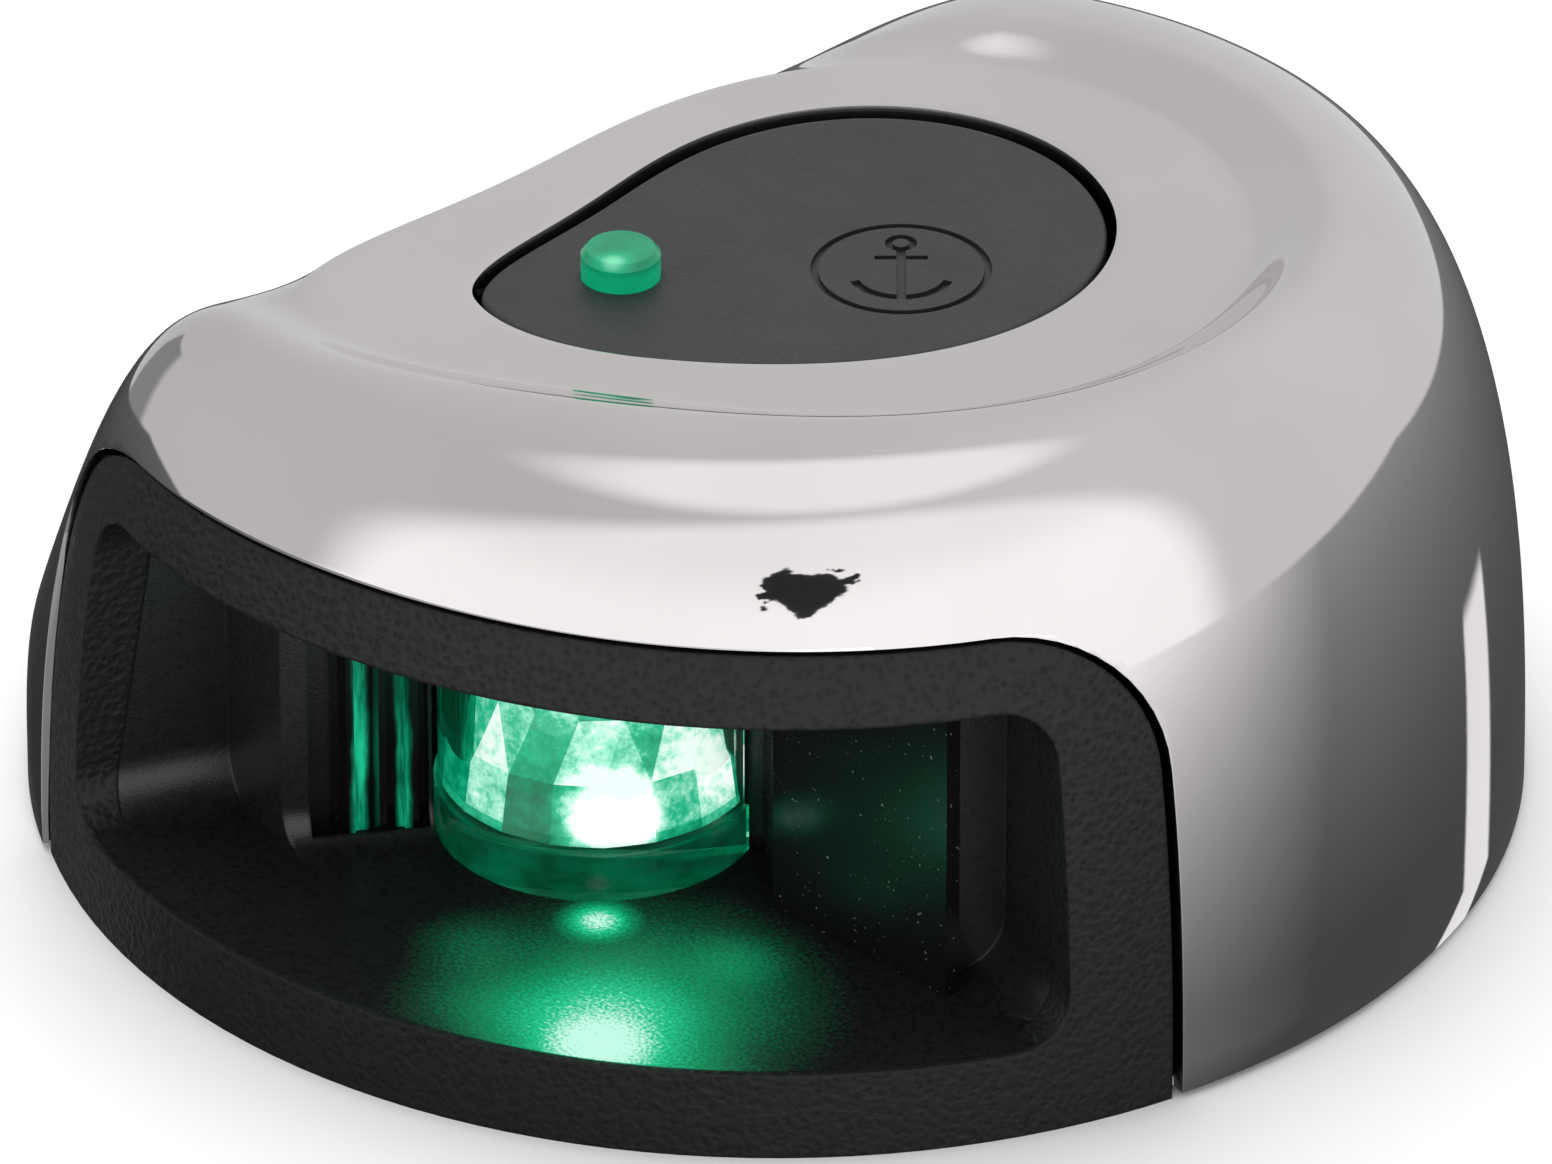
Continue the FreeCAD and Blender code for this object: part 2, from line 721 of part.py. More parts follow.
def make_optic():
    """The faceted light guide inside the lens, narrow at its waist."""
    levels = (("optic_rim", 7.9), ("optic_waist", 12.6), ("optic_rim", 21.5))
    rings = []
    for number, (radius, height) in enumerate(levels, start=1):
        polygon = doc.addObject("Part::RegularPolygon", f"optic_ring_{number}")
        polygon.Polygon = OPTIC_SIDES
        bind(polygon, Circumradius=cell(radius))
        rings.append(place(polygon, z=f"{height}"))
    loft = doc.addObject("Part::Loft", "optic_loft")
    loft.Sections = rings
    loft.Solid = True
    loft.Ruled = True
    keep = box("optic_keep", f"{FAR}", f"{2 * FAR}", f"{FAR}", x=f"{OPTIC_BACK}", y=f"{-FAR}", z=f"{UNDER}")
    return aim(common("optic", loft, keep))


def make_lens_gasket():
    outer = box("lens_gasket_outer", cell("lens_gasket_thickness"), "16.4", "20.4",
                x=f"{BACK_WALL}", y="-8.2", z="5.3")
    inner = box("lens_gasket_inner", "4", "13", "14", x="-1", y="-6.5", z="8")
    return aim(cut("lens_gasket", outer, inner))


def board_fixings(name, radius, start, end):
    """Cylinders along the light axis where the light board's two screws go."""
    pieces = []
    for number, (across, height) in enumerate(((-7.6, 10.0), (7.6, 22.0)), start=1):
        piece = doc.addObject("Part::Cylinder", f"{name}_{number}")
        piece.Radius = radius
        piece.Height = end - start
        piece.Placement = Placement(Vector(start, across, height), Rotation(Vector(0, 1, 0), 90))
        pieces.append(piece)
    return compound(name, *pieces)


# Faces across the light axis, in the source's frame: the board's front and back, and the plate's back.
BOARD_FRONT = -1.35
BOARD_BACK = -2.95
SINK_BACK = -4.75
SCREW_CLEARANCE = 0.9


def make_light_board():
    board = box("light_board_blank", cell("board_thickness"), cell("board_width"), cell("board_height"),
                x=f"{BOARD_BACK}", y="-Sheet.board_width / 2", z=cell("board_bottom"))
    return aim(cut("light_board", board, board_fixings("board_holes", SCREW_CLEARANCE, -4.0, 0.0)))


def make_heat_sink():
    """The aluminium plate behind the light board, with upright fins."""
    plate = box("sink_plate", cell("sink_thickness"), cell("board_width"), cell("board_height"),
                x=f"{SINK_BACK}", y="-Sheet.board_width / 2", z=cell("board_bottom"))
    fins = []
    for number in range(4):
        fins.append(box(f"sink_fin_{number + 1}", cell("fin_length"), cell("fin_width"), cell("board_height"),
                        x=f"{SINK_BACK - 3.0}", y=f"{-5.0 + 3.0 * number}", z=cell("board_bottom")))
    whole = fuse("sink_whole", plate, *fins)
    return aim(cut("heat_sink", whole, board_fixings("sink_holes", SCREW_CLEARANCE, -6.0, 0.0)))


def make_board_screws():
    shanks = board_fixings("screw_shanks", 0.78, -4.8, -0.1)
    heads = board_fixings("screw_heads", 1.5, -5.9, -4.78)
    pieces = [fuse(f"board_screw_{number + 1}", shanks.Links[number], heads.Links[number])
              for number in range(2)]
    return aim(compound("board_screws", *pieces))


EMITTER_HEIGHT = 14.5


def make_emitter():
    """The light-emitting package on the board."""
    width = cell("emitter_width")
    pad = box("emitter_pad", cell("emitter_height"), width, width, x=f"{BOARD_FRONT}",
              y=f"-{width} / 2", z=f"{EMITTER_HEIGHT} - {width} / 2")
    dome = doc.addObject("Part::Sphere", "emitter_dome")
    dome.Radius = 1.4
    dome.Placement = Placement(Vector(BOARD_FRONT + 0.6, 0, EMITTER_HEIGHT), Rotation())
    front = box("emitter_front", "4", "6", "6", x=f"{BOARD_FRONT + 0.5}", y="-3",
                z=f"{EMITTER_HEIGHT - 3}")
    return aim(fuse("emitter", pad, common("emitter_bulb", dome, front)))


# ---------------------------------------------------------------- badge and tell-tale

def make_mark():
    """A plain anchor in a circle, as a cutter sunk into the badge's face."""
    tall = "2"
    low = "Sheet.badge_top - Sheet.mark_depth"
    line = "Sheet.mark_line"
    tools = [
        ring("mark_circle", f"Sheet.mark_radius - {line}", "Sheet.mark_radius", tall, z=low),
        ring("mark_eye", f"0.85 - {line}", "0.85", tall, x="2.75", z=low),
        box("mark_shank", "5.0", f"{line} + 0.1", tall, x="-3.0", y=f"-({line} + 0.1) / 2", z=low),
        box("mark_stock", line, "2.8", tall, x="1.0", y="-1.4", z=low),
        ring_sector("mark_arms", "2.35", "2.85", "110", "140", tall, x="-0.35", z=low),
    ]
    mark = fuse("mark", *tools)
    mark.Placement = Placement(Vector(size("mark_x"), size("mark_y"), 0),
                               Rotation(Vector(0, 0, 1), size("mark_turn")))
    return mark


def make_badge():
    """The textured panel let into the cover's top."""
    low = size("badge_top") - size("badge_thickness")
    blank = egg_prism("badge_blank", badge_egg(0.0), low, size("badge_top"))

    def top_edge(edge):
        return edge.BoundBox.ZMin > size("badge_top") - 1e-6
    rounded = fillet_edges("badge_rounded", blank, size("badge_edge_round"), top_edge)
    hole = cylinder("badge_hole", "Sheet.pipe_radius + 0.05", "10",
                    x=cell("pipe_x"), y=cell("pipe_y"), z="28")
    return cut("badge", rounded, fuse("badge_cuts", make_mark(), hole))


def make_badge_tape():
    low = size("badge_top") - size("badge_thickness") - size("badge_tape_thickness")
    blank = egg_prism("tape_blank", badge_egg(-1.5), low, low + size("badge_tape_thickness"))
    hole = cylinder("tape_hole", "3.2", "10", x=cell("pipe_x"), y=cell("pipe_y"), z="28")
    return cut("badge_tape", blank, hole)


def make_light_pipe():
    """The tell-tale's round light pipe, with a bevelled top and a collar under the badge."""
    top = "Sheet.badge_top + Sheet.pipe_proud"
    edge = "Sheet.pipe_edge"
    stem = cylinder("pipe_stem", cell("pipe_radius"), f"Sheet.pipe_length - {edge}",
                    x=cell("pipe_x"), y=cell("pipe_y"), z=f"{top} - Sheet.pipe_length")
    bevel = cone("pipe_bevel", cell("pipe_radius"), "Sheet.pipe_radius - 0.3", edge,
                 x=cell("pipe_x"), y=cell("pipe_y"), z=f"{top} - {edge}")
    collar = cylinder("pipe_collar", cell("collar_radius"), cell("collar_height"),
                      x=cell("pipe_x"), y=cell("pipe_y"), z=cell("collar_bottom"))
    return fuse("light_pipe", stem, bevel, collar)


def make_pipe_holder():
    """The sleeve that hangs the tell-tale's board under the housing's roof."""
    return ring("pipe_holder", "Sheet.pipe_radius + 0.2", cell("holder_radius"), cell("holder_length"),
                x=cell("pipe_x"), y=cell("pipe_y"), z=cell("holder_bottom"))


def make_telltale_board():
    return box("telltale_board", cell("telltale_board_length"), cell("telltale_board_width"),
               cell("telltale_board_thickness"), x="Sheet.pipe_x - Sheet.telltale_board_length / 2",
               y="Sheet.pipe_y - Sheet.telltale_board_width / 2",
               z="Sheet.holder_bottom - Sheet.telltale_board_thickness")


def make_telltale_led():
    base = box("telltale_led_base", "2", "1.6", "0.6", x="Sheet.pipe_x - 1",
               y="Sheet.pipe_y - 0.8", z=cell("holder_bottom"))
    dome = cone("telltale_led_dome", "0.75", "0.5", "0.9", x=cell("pipe_x"), y=cell("pipe_y"),
                z="Sheet.holder_bottom + 0.55")
    return fuse("telltale_led", base, dome)


# ---------------------------------------------------------------- underside

DRIVER_SPOT = Vector(4.7, 3.6, 8.0)


def make_base_plate():
    """The plate that closes the driver bay, with its seal groove, cable hole and stand-offs."""
    low = "Sheet.plate_recess - Sheet.plate_thickness"
    disc = cylinder("plate_disc", cell("plate_radius"), cell("plate_thickness"),
                    x=cell("plate_x"), y=cell("plate_y"), z=low)
    posts = pegs("plate_posts", size("post_radius"), 2.9, DRIVER_SPOT.z, driver_screw_places())
    whole = fuse("plate_whole", disc, posts)
    groove = ring("plate_groove", "Sheet.seal_inner - 0.05", "Sheet.seal_outer + 0.05", "2",
                  x=cell("plate_x"), y=cell("plate_y"), z="Sheet.plate_recess - Sheet.seal_depth")
    holes = pegs("plate_holes", 1.15, 0.0, 4.0, plate_screw_places())
    sinks = pegs("plate_sinks", 2.1, -1.0, 1.8, plate_screw_places())
    cable = cylinder("plate_cable_hole", "Sheet.gland_neck + 0.05", "10",
                     x=cell("cable_x"), y=cell("cable_y"), z="-2")
    pilots = pegs("post_pilots", 0.72, 4.0, 9.0, driver_screw_places())
    return cut("base_plate", whole, fuse("plate_cuts", groove, holes, sinks, cable, pilots))


def make_plate_seal():
    return ring("plate_seal", cell("seal_inner"), cell("seal_outer"), cell("seal_depth"),
                x=cell("plate_x"), y=cell("plate_y"), z="Sheet.plate_recess - Sheet.seal_depth")


def screws(name, places, shank, head, seat, head_height, tip):
    """Pan-headed screws with their heads below their seats, or above when the tip is lower."""
    pieces = []
    for number, spot in enumerate(places, start=1):
        stem = cylinder(f"{name}_{number}_stem", f"{shank}", f"{abs(tip - seat)}",
                        x=f"{spot.x}", y=f"{spot.y}", z=f"{min(tip, seat)}")
        low = seat - head_height if tip > seat else seat
        cap = cylinder(f"{name}_{number}_cap", f"{head}", f"{head_height}",
                       x=f"{spot.x}", y=f"{spot.y}", z=f"{low}")
        slot = box(f"{name}_{number}_slot", f"{2 * head}", "0.4", f"{head_height / 2}",
                   x=f"{spot.x - head}", y=f"{spot.y - 0.2}",
                   z=f"{low if tip > seat else low + head_height / 2}")
        pieces.append(cut(f"{name}_{number}", fuse(f"{name}_{number}_whole", stem, cap), slot))
    return compound(name, *pieces)


def driver_screw_places():
    return [DRIVER_SPOT + Vector(-5.6, 4.6, 0), DRIVER_SPOT + Vector(5.6, 4.6, 0)]


def make_driver_board():
    board = box("driver_blank", cell("driver_length"), cell("driver_width"), cell("driver_thickness"),
                x=f"{DRIVER_SPOT.x} - Sheet.driver_length / 2",
                y=f"{DRIVER_SPOT.y} - Sheet.driver_width / 2", z=f"{DRIVER_SPOT.z}")
    holes = pegs("driver_holes", SCREW_CLEARANCE, 6.0, 12.0, driver_screw_places())
    return cut("driver_board", board, holes)


def on_board(name, x, y, length, width, height):
    """A component's block, placed from the middle of the driver board's upper face."""
    return box(name, f"{length}", f"{width}", f"{height}", x=f"{DRIVER_SPOT.x + x}",
               y=f"{DRIVER_SPOT.y + y}", z=f"{DRIVER_SPOT.z} + Sheet.driver_thickness")


def make_resistors():
    pieces = []
    for number in range(3):
        pieces.append(on_board(f"resistor_{number + 1}", 2.0 + 1.6 * number, -5.0, 0.8, 1.6, 0.5))
    return compound("resistors", *pieces)


def make_capacitor():
    return cylinder("capacitor", "2.4", "5.5", x=f"{DRIVER_SPOT.x - 3.6}",
                    y=f"{DRIVER_SPOT.y - 2.6}", z=f"{DRIVER_SPOT.z} + Sheet.driver_thickness")


def make_cable_gland():
    """The rubber grommet in the base plate that the supply cable comes out through."""
    neck = cylinder("gland_neck", cell("gland_neck"), "4", x=cell("cable_x"), y=cell("cable_y"), z="0.4")
    above = cone("gland_above", cell("gland_shoulder"), "4.2", "2.6",
                 x=cell("cable_x"), y=cell("cable_y"), z=cell("plate_recess"))
    below = cylinder("gland_below", cell("gland_foot"), "0.8", x=cell("cable_x"), y=cell("cable_y"), z="0.2")
    bore = cylinder("gland_bore", cell("cable_bore"), "12", x=cell("cable_x"), y=cell("cable_y"), z="-2")
    return cut("cable_gland", fuse("gland_whole", neck, above, below), bore)


def make_deck_gasket():
    return ring("deck_gasket", cell("gasket_inner"), cell("gasket_outer"), cell("gasket_depth"))


def make_cover_springs():
    """The leaf springs round the flange that grip the cover's skirt."""
    pieces = []
    metal, span = cell("spring_metal"), cell("spring_arc")
    outer = f"38 + {metal}"
    for number, (angle, spot) in enumerate(zip(SPRING_ANGLES, spring_places()), start=1):
        start = f"{angle} - {span} / 2"
        leaf = ring_sector(f"spring_leaf_{number}", "38", outer, start, span, "3.9", z="1.5")
        foot = ring_sector(f"spring_foot_{number}", "33.6", outer, start, span, metal,
                           z=cell("flange_thickness"))
        hole = cylinder(f"spring_hole_{number}", "1.05", "10", x=f"{spot.x}", y=f"{spot.y}")
        pieces.append(cut(f"spring_{number}", fuse(f"spring_whole_{number}", leaf, foot), hole))
    return compound("cover_springs", *pieces)


# ---------------------------------------------------------------- the assembly

SUB_PARTS = [
    make_cover(),
    make_housing(),
    make_badge(),
    make_badge_tape(),
    make_light_pipe(),
    make_pipe_holder(),
    make_telltale_board(),
    make_telltale_led(),
    make_lens(),
    make_lens_gasket(),
    make_optic(),
    make_emitter(),
    make_light_board(),
    make_heat_sink(),
    make_board_screws(),
    make_aft_baffle(),
    make_forward_screen(),
    make_driver_board(),
    on_board("driver_chip", x=-1.0, y=0.2, length=4.0, width=5.0, height=1.5),
    on_board("choke", x=3.6, y=-2.4, length=3.0, width=4.0, height=3.0),
    on_board("reverse_diode", x=-6.4, y=1.0, length=3.4, width=1.6, height=1.2),
    make_resistors(),
    make_capacitor(),
    screws("driver_screws", driver_screw_places(),
           shank=0.7, head=1.4, seat=9.2, head_height=0.9, tip=4.4),
    make_base_plate(),
    make_plate_seal(),
    screws("plate_screws", plate_screw_places(),
           shank=0.9, head=1.9, seat=1.8, head_height=1.2, tip=8.2),
    make_cable_gland(),
    make_deck_gasket(),
    make_cover_springs(),
    screws("spring_screws", spring_places(),
           shank=0.9, head=1.6, seat=5.4, head_height=0.9, tip=1.8),
]

doc.recompute()

for thing in doc.Objects:
    if "Invalid" in thing.State or "Error" in thing.State:
        raise RuntimeError(f"{thing.Name} failed to build: {thing.State}")

os.makedirs("parts", exist_ok=True)
for sub_part in SUB_PARTS:
    sub_part.Label = sub_part.Name
    shape = sub_part.Shape
    if shape.isNull() or not shape.isValid() or not shape.Solids:
        raise RuntimeError(f"{sub_part.Label} has no valid solid")
    shape.exportStep(f"parts/{sub_part.Label}.step")
    print(f"{sub_part.Label}: {len(shape.Solids)} solid(s), {shape.Volume:.1f} mm3")
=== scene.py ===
"""Looks of the starboard navigation light: materials, light guide, glow and studio."""

import math

import bmesh
import bpy
from mathutils import Matrix, Vector


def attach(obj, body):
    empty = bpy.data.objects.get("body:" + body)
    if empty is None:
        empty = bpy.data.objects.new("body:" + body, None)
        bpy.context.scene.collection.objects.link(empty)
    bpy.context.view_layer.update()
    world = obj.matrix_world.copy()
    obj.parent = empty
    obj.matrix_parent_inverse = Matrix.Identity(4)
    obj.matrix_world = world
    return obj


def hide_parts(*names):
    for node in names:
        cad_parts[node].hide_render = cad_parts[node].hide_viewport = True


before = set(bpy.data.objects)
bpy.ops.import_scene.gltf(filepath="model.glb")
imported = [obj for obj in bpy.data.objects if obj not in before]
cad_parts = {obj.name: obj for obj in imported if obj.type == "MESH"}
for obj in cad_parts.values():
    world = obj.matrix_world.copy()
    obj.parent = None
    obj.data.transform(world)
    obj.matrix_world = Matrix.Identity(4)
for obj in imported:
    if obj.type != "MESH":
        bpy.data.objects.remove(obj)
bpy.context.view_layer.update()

MM = 0.001
scene = bpy.context.scene

# The light source's own frame: its axis stands in the lens and faces the starboard bow.
SOURCE = Vector((5.07, -16.13, 0)) * MM
LIGHT_AXIS = math.radians(-56.25)
FLOOR_HEIGHT = 5.0 * MM
# The chamber ends at a cone just behind the bezel's face, and its floor runs out to the face.
CHAMBER_RADIUS, CHAMBER_LEAN = 38.45 * MM, 0.162
FLOOR_RADIUS = 39.3 * MM
LENS_FOOT_TOP = 8.6 * MM
TELLTALE_RIM = Vector((0.9, -11.6, 35.2))
# The baffle runs out from the lamp at this angle from the axis. Each rib with a painted streak of the
# lamp's light has a distance from the lamp, a half width in millimetres and a brightness.
BAFFLE_ANGLE = math.radians(62.5)
LIT_RIBS = ((12.9, 0.6, 1.0), (10.6, 0.45, 0.7))


def from_source(ahead, aside, height):
    """A place given in millimetres ahead of, to the left of and above the light source's foot."""
    spot = Matrix.Rotation(LIGHT_AXIS, 4, "Z") @ Vector((ahead, aside, 0))
    return SOURCE + (spot + Vector((0, 0, height))) * MM


# ---------------------------------------------------------------- the cover's form, in millimetres

COVER_RADIUS = 40.0
COVER_WALL = 1.2
COVER_BOTTOM = 0.4
EDGE_ROUNDING = 0.14
PLATEAU_HEIGHT = 33.8
AFT_SKIRT = 7.0
CREST_RISE, CREST_LEAN, CREST_LEAN_ANGLE = 1.3, 0.69, 16.5
CREST_RUN = 4.0
SHOULDER_ACROSS, SHOULDER_DOWN = 2.11, 2.41
BAND_RISES, BAND_FULL, BAND_FALLS, BAND_GONE = -134.6, -98.0, 105.7, 165.4
AFT_SKEW, PORT_SKEW = 14.1, 5.8
PLATEAU_EGG = ((6.3, 4.3), -115.5, (17.6, 33.0, 27.0, 17.5))
OPENING_EGG = ((4.62, 3.19), -107.75, (12.35, 22.55, 37.0, 19.0))
WINDOW_START, WINDOW_SPAN, WINDOW_TOP, WINDOW_CORNER = -115.25, 108.1, 27.8, 8.5
WINDOW_STEPS = 60
CUTTER_INNER, CUTTER_OUTER, CUTTER_BOTTOM = 22.0, 60.0, -3


def smooth_step(value):
    value = min(max(value, 0.0), 1.0)
    return value * value * (3 - 2 * value)


def turn_between(angle, start):
    return (angle - start + 180) % 360 - 180


def egg_reach(turn, round_radius, reach, near_spread, far_spread):
    """Distance from an egg's round centre to its outline, at a turn from its narrow tip."""
    spread = near_spread if turn > 0 else far_spread
    floor = 1 / (1 + (180 / spread) ** 2)
    bump = (1 / (1 + (turn / spread) ** 2) - floor) / (1 - floor)
    return round_radius + (reach - round_radius) * bump


def egg_radius(degrees, centre, tip_angle, egg):
    """Distance from the origin to an egg outline that holds the origin, by bisection."""
    low, high = 0.0, 60.0
    for _ in range(40):
        middle = (low + high) / 2
        x = middle * math.cos(math.radians(degrees)) - centre[0]
        y = middle * math.sin(math.radians(degrees)) - centre[1]
        direction = math.degrees(math.atan2(y, x))
        inside = math.hypot(x, y) < egg_reach(turn_between(direction, tip_angle), *egg)
        low, high = (middle, high) if inside else (low, middle)
    return (low + high) / 2


def band_weight(degrees, share):
    """1 where the raised band stands, falling smoothly to 0 aft, and sooner near the plateau."""
    angle = turn_between(degrees, 0)
    if angle < 0:
        return smooth_step((angle + AFT_SKEW * share - BAND_RISES) / (BAND_FULL - BAND_RISES))
    return smooth_step((BAND_GONE + PORT_SKEW * share - angle) / (BAND_GONE - BAND_FALLS))


def cover_profile(degrees):
    """Radius and height from the badge opening's edge out and down to the base, at one plan angle."""
    opening = egg_radius(degrees, *OPENING_EGG)
    edge = egg_radius(degrees, *PLATEAU_EGG)
    lean = math.cos(math.radians(degrees - CREST_LEAN_ANGLE))
    rise = CREST_RISE + CREST_LEAN * lean
    profile = [(opening + (edge - opening) * step / 8, PLATEAU_HEIGHT) for step in range(8)]
    band = []
    for step in range(17):
        way = step / 16
        band.append((edge + CREST_RUN * way, PLATEAU_HEIGHT + rise * math.sin(math.pi / 2 * way ** 1.4)))
    shoulder = edge + CREST_RUN
    for step in range(1, 46):
        turn = math.radians(step * 2)
        across = math.sin(turn) ** (2 / SHOULDER_ACROSS)
        down = max(math.cos(turn), 0.0) ** (2 / SHOULDER_DOWN)
        band.append((shoulder + (COVER_RADIUS - shoulder) * across, (PLATEAU_HEIGHT + rise) * down))
    for radius, height in band:
        share = (radius - edge) / (COVER_RADIUS - edge)
        weight = band_weight(degrees, share)
        aft_height = AFT_SKIRT + (PLATEAU_HEIGHT - AFT_SKIRT) * (1 - share)
        profile.append((radius, weight * height + (1 - weight) * aft_height))
    profile[-1] = (COVER_RADIUS, COVER_BOTTOM)
    return profile


# ---------------------------------------------------------------- node helpers

class Graph:
    """A node tree, with short calls for the nodes used here."""

    def __init__(self, tree, coordinates):
        self.tree = tree
        self.place = tree.nodes.new("ShaderNodeTexCoord").outputs[coordinates]

    def link(self, source, target):
        self.tree.links.new(source, target)

    def node(self, kind, **settings):
        made = self.tree.nodes.new(kind)
        for name, value in settings.items():
            setattr(made, name, value)
        return made

    def feed(self, socket, value):
        """Set a socket to a number, or link it to another socket."""
        if isinstance(value, bpy.types.NodeSocket):
            self.link(value, socket)
        else:
            socket.default_value = value

    def math(self, operation, *values):
        made = self.node("ShaderNodeMath", operation=operation)
        for socket, value in zip(made.inputs, values):
            self.feed(socket, value)
        return made.outputs[0]

    def along(self, source, direction):
        """How far a vector reaches along a direction."""
        made = self.node("ShaderNodeVectorMath", operation="DOT_PRODUCT")
        self.link(source, made.inputs[0])
        made.inputs[1].default_value = direction
        return made.outputs["Value"]

    def step(self, value, start, end):
        """0 before start and 1 after end, with a smooth rise between."""
        made = self.node("ShaderNodeMapRange", interpolation_type="SMOOTHSTEP")
        self.feed(made.inputs["Value"], value)
        made.inputs["From Min"].default_value = start
        made.inputs["From Max"].default_value = end
        return made.outputs["Result"]

    def mix(self, share, first, second):
        """The first number where share is 0 and the second where it is 1."""
        made = self.node("ShaderNodeMix")
        for socket, value in zip(made.inputs, (share, None, first, second)):
            if value is not None:
                self.feed(socket, value)
        return made.outputs[0]

    def near(self, centre, radius):
        """1 at a point, falling smoothly to 0 at a radius from it, both in metres."""
        made = self.node("ShaderNodeVectorMath", operation="DISTANCE")
        self.link(self.place, made.inputs[0])
        made.inputs[1].default_value = centre
        return self.step(made.outputs["Value"], radius, 0.0)

    def noise(self, scale, detail=3.0, roughness=0.5, stretch=None):
        made = self.node("ShaderNodeTexNoise")
        made.inputs["Scale"].default_value = scale
        made.inputs["Detail"].default_value = detail
        made.inputs["Roughness"].default_value = roughness
        self.link(self.stretched(stretch), made.inputs["Vector"])
        return made.outputs["Fac"]

    def cells(self, scale, smoothness=0.6):
        made = self.node("ShaderNodeTexVoronoi", feature="SMOOTH_F1")
        made.inputs["Scale"].default_value = scale
        made.inputs["Smoothness"].default_value = smoothness
        self.link(self.place, made.inputs["Vector"])
        return made.outputs["Distance"]

    def stretched(self, stretch):
        if stretch is None:
            return self.place
        made = self.node("ShaderNodeMapping")
        made.inputs["Scale"].default_value = stretch
        self.link(self.place, made.inputs["Vector"])
        return made.outputs["Vector"]

    def ramp(self, source, *stops):
        made = self.node("ShaderNodeValToRGB")
        steps = made.color_ramp.elements
        while len(steps) < len(stops):
            steps.new(0.5)
        for step, (place, colour) in zip(steps, stops):
            step.position = place
            step.color = tuple(colour) + (1.0,)
        self.link(source, made.inputs["Fac"])
        return made.outputs["Color"]

    def spread(self, source, low, high, out_low, out_high):
        made = self.node("ShaderNodeMapRange")
        values = (low, high, out_low, out_high)
        for name, value in zip(("From Min", "From Max", "To Min", "To Max"), values):
            made.inputs[name].default_value = value
        self.link(source, made.inputs["Value"])
        return made.outputs["Result"]

    def add(self, first, second, share):
        """first plus a share of second."""
        return self.math("MULTIPLY_ADD", second, share, first)


class Nodes(Graph):
    """A new material and its Principled shader."""

    def __init__(self, name):
        self.material = bpy.data.materials.new(name)
        self.material.use_nodes = True
        super().__init__(self.material.node_tree, "Object")
        self.shader = self.tree.nodes["Principled BSDF"]

    def set(self, **values):
        for name, value in values.items():
            self.shader.inputs[name.replace("_", " ")].default_value = value

    def bump(self, height, distance, strength=1.0, edge=0.0):
        """Relief from a height, over edges that catch the light as if rounded to a radius."""
        made = self.node("ShaderNodeBump")
        if edge:
            rounded = self.node("ShaderNodeBevel", samples=4)
            rounded.inputs["Radius"].default_value = edge
            self.link(rounded.outputs["Normal"], made.inputs["Normal"])
        made.inputs["Distance"].default_value = distance
        made.inputs["Strength"].default_value = strength
        self.link(height, made.inputs["Height"])
        self.link(made.outputs["Normal"], self.shader.inputs["Normal"])

    def colour(self, source):
        self.link(source, self.shader.inputs["Base Color"])

    def rough(self, source):
        self.link(source, self.shader.inputs["Roughness"])


# ---------------------------------------------------------------- materials

def polished_steel():
    """Mirror-polished stainless steel with faint polishing haze and hairline marks."""
    n = Nodes("polished_steel")
    n.set(Metallic=1.0)
    tone = n.noise(60, 4)
    n.colour(n.ramp(tone, (0.3, (0.68, 0.655, 0.65)), (0.7, (0.73, 0.705, 0.70))))
    haze = n.noise(900, 6, 0.7)
    n.rough(n.spread(haze, 0.3, 0.75, 0.012, 0.05))
    hairs = n.noise(1500, 2, 0.5, stretch=(1.0, 0.06, 1.0))
    n.bump(hairs, 0.000002, 0.3)
    return n.material


def plain_steel():
    n = Nodes("plain_steel")
    n.set(Metallic=1.0)
    n.colour(n.ramp(n.noise(400, 4), (0.3, (0.5, 0.5, 0.49)), (0.7, (0.64, 0.63, 0.62))))
    n.rough(n.spread(n.noise(2500, 4), 0.3, 0.7, 0.22, 0.4))
    n.bump(n.noise(3000, 2, 0.5, stretch=(1.0, 1.0, 0.1)), 0.00001, 0.5)
    return n.material


def moulded_black(name, grain_scale, depth, tone, rough):
    """Black moulding with a fine spark-eroded grain and a dusting of wear."""
    n = Nodes(name)
    low, high = tone
    n.colour(n.ramp(n.noise(180, 5, 0.6), (0.35, (low, low, low * 1.04)), (0.7, (high, high, high * 1.04))))
    grain = n.add(n.cells(grain_scale), n.noise(grain_scale * 1.7, 4, 0.6), 0.8)
    n.rough(n.spread(grain, 0.3, 1.2, rough + 0.1, rough - 0.06))
    n.bump(grain, depth)
    return n.material


def from_axis(n):
    """How far each place is from the upright axis."""
    flat = n.node("ShaderNodeVectorMath", operation="MULTIPLY")
    n.link(n.place, flat.inputs[0])
    flat.inputs[1].default_value = (1, 1, 0)
    distance = n.node("ShaderNodeVectorMath", operation="LENGTH")
    n.link(flat.outputs[0], distance.inputs[0])
    return distance.outputs["Value"]


def in_chamber(n):
    """1 on the chamber's walls and floor, and 0 on the bezel and flange around them."""
    radius, height = from_axis(n), n.along(n.place, (0, 0, 1))
    lean = n.add(radius, height, CHAMBER_LEAN)
    walls = n.step(lean, CHAMBER_RADIUS + 0.1 * MM, CHAMBER_RADIUS - 0.1 * MM)
    floor = n.math("MULTIPLY", n.step(height, FLOOR_HEIGHT + 0.4 * MM, FLOOR_HEIGHT + 0.2 * MM),
                   n.step(radius, FLOOR_RADIUS, FLOOR_RADIUS - 0.2 * MM))
    return n.math("MAXIMUM", walls, floor)


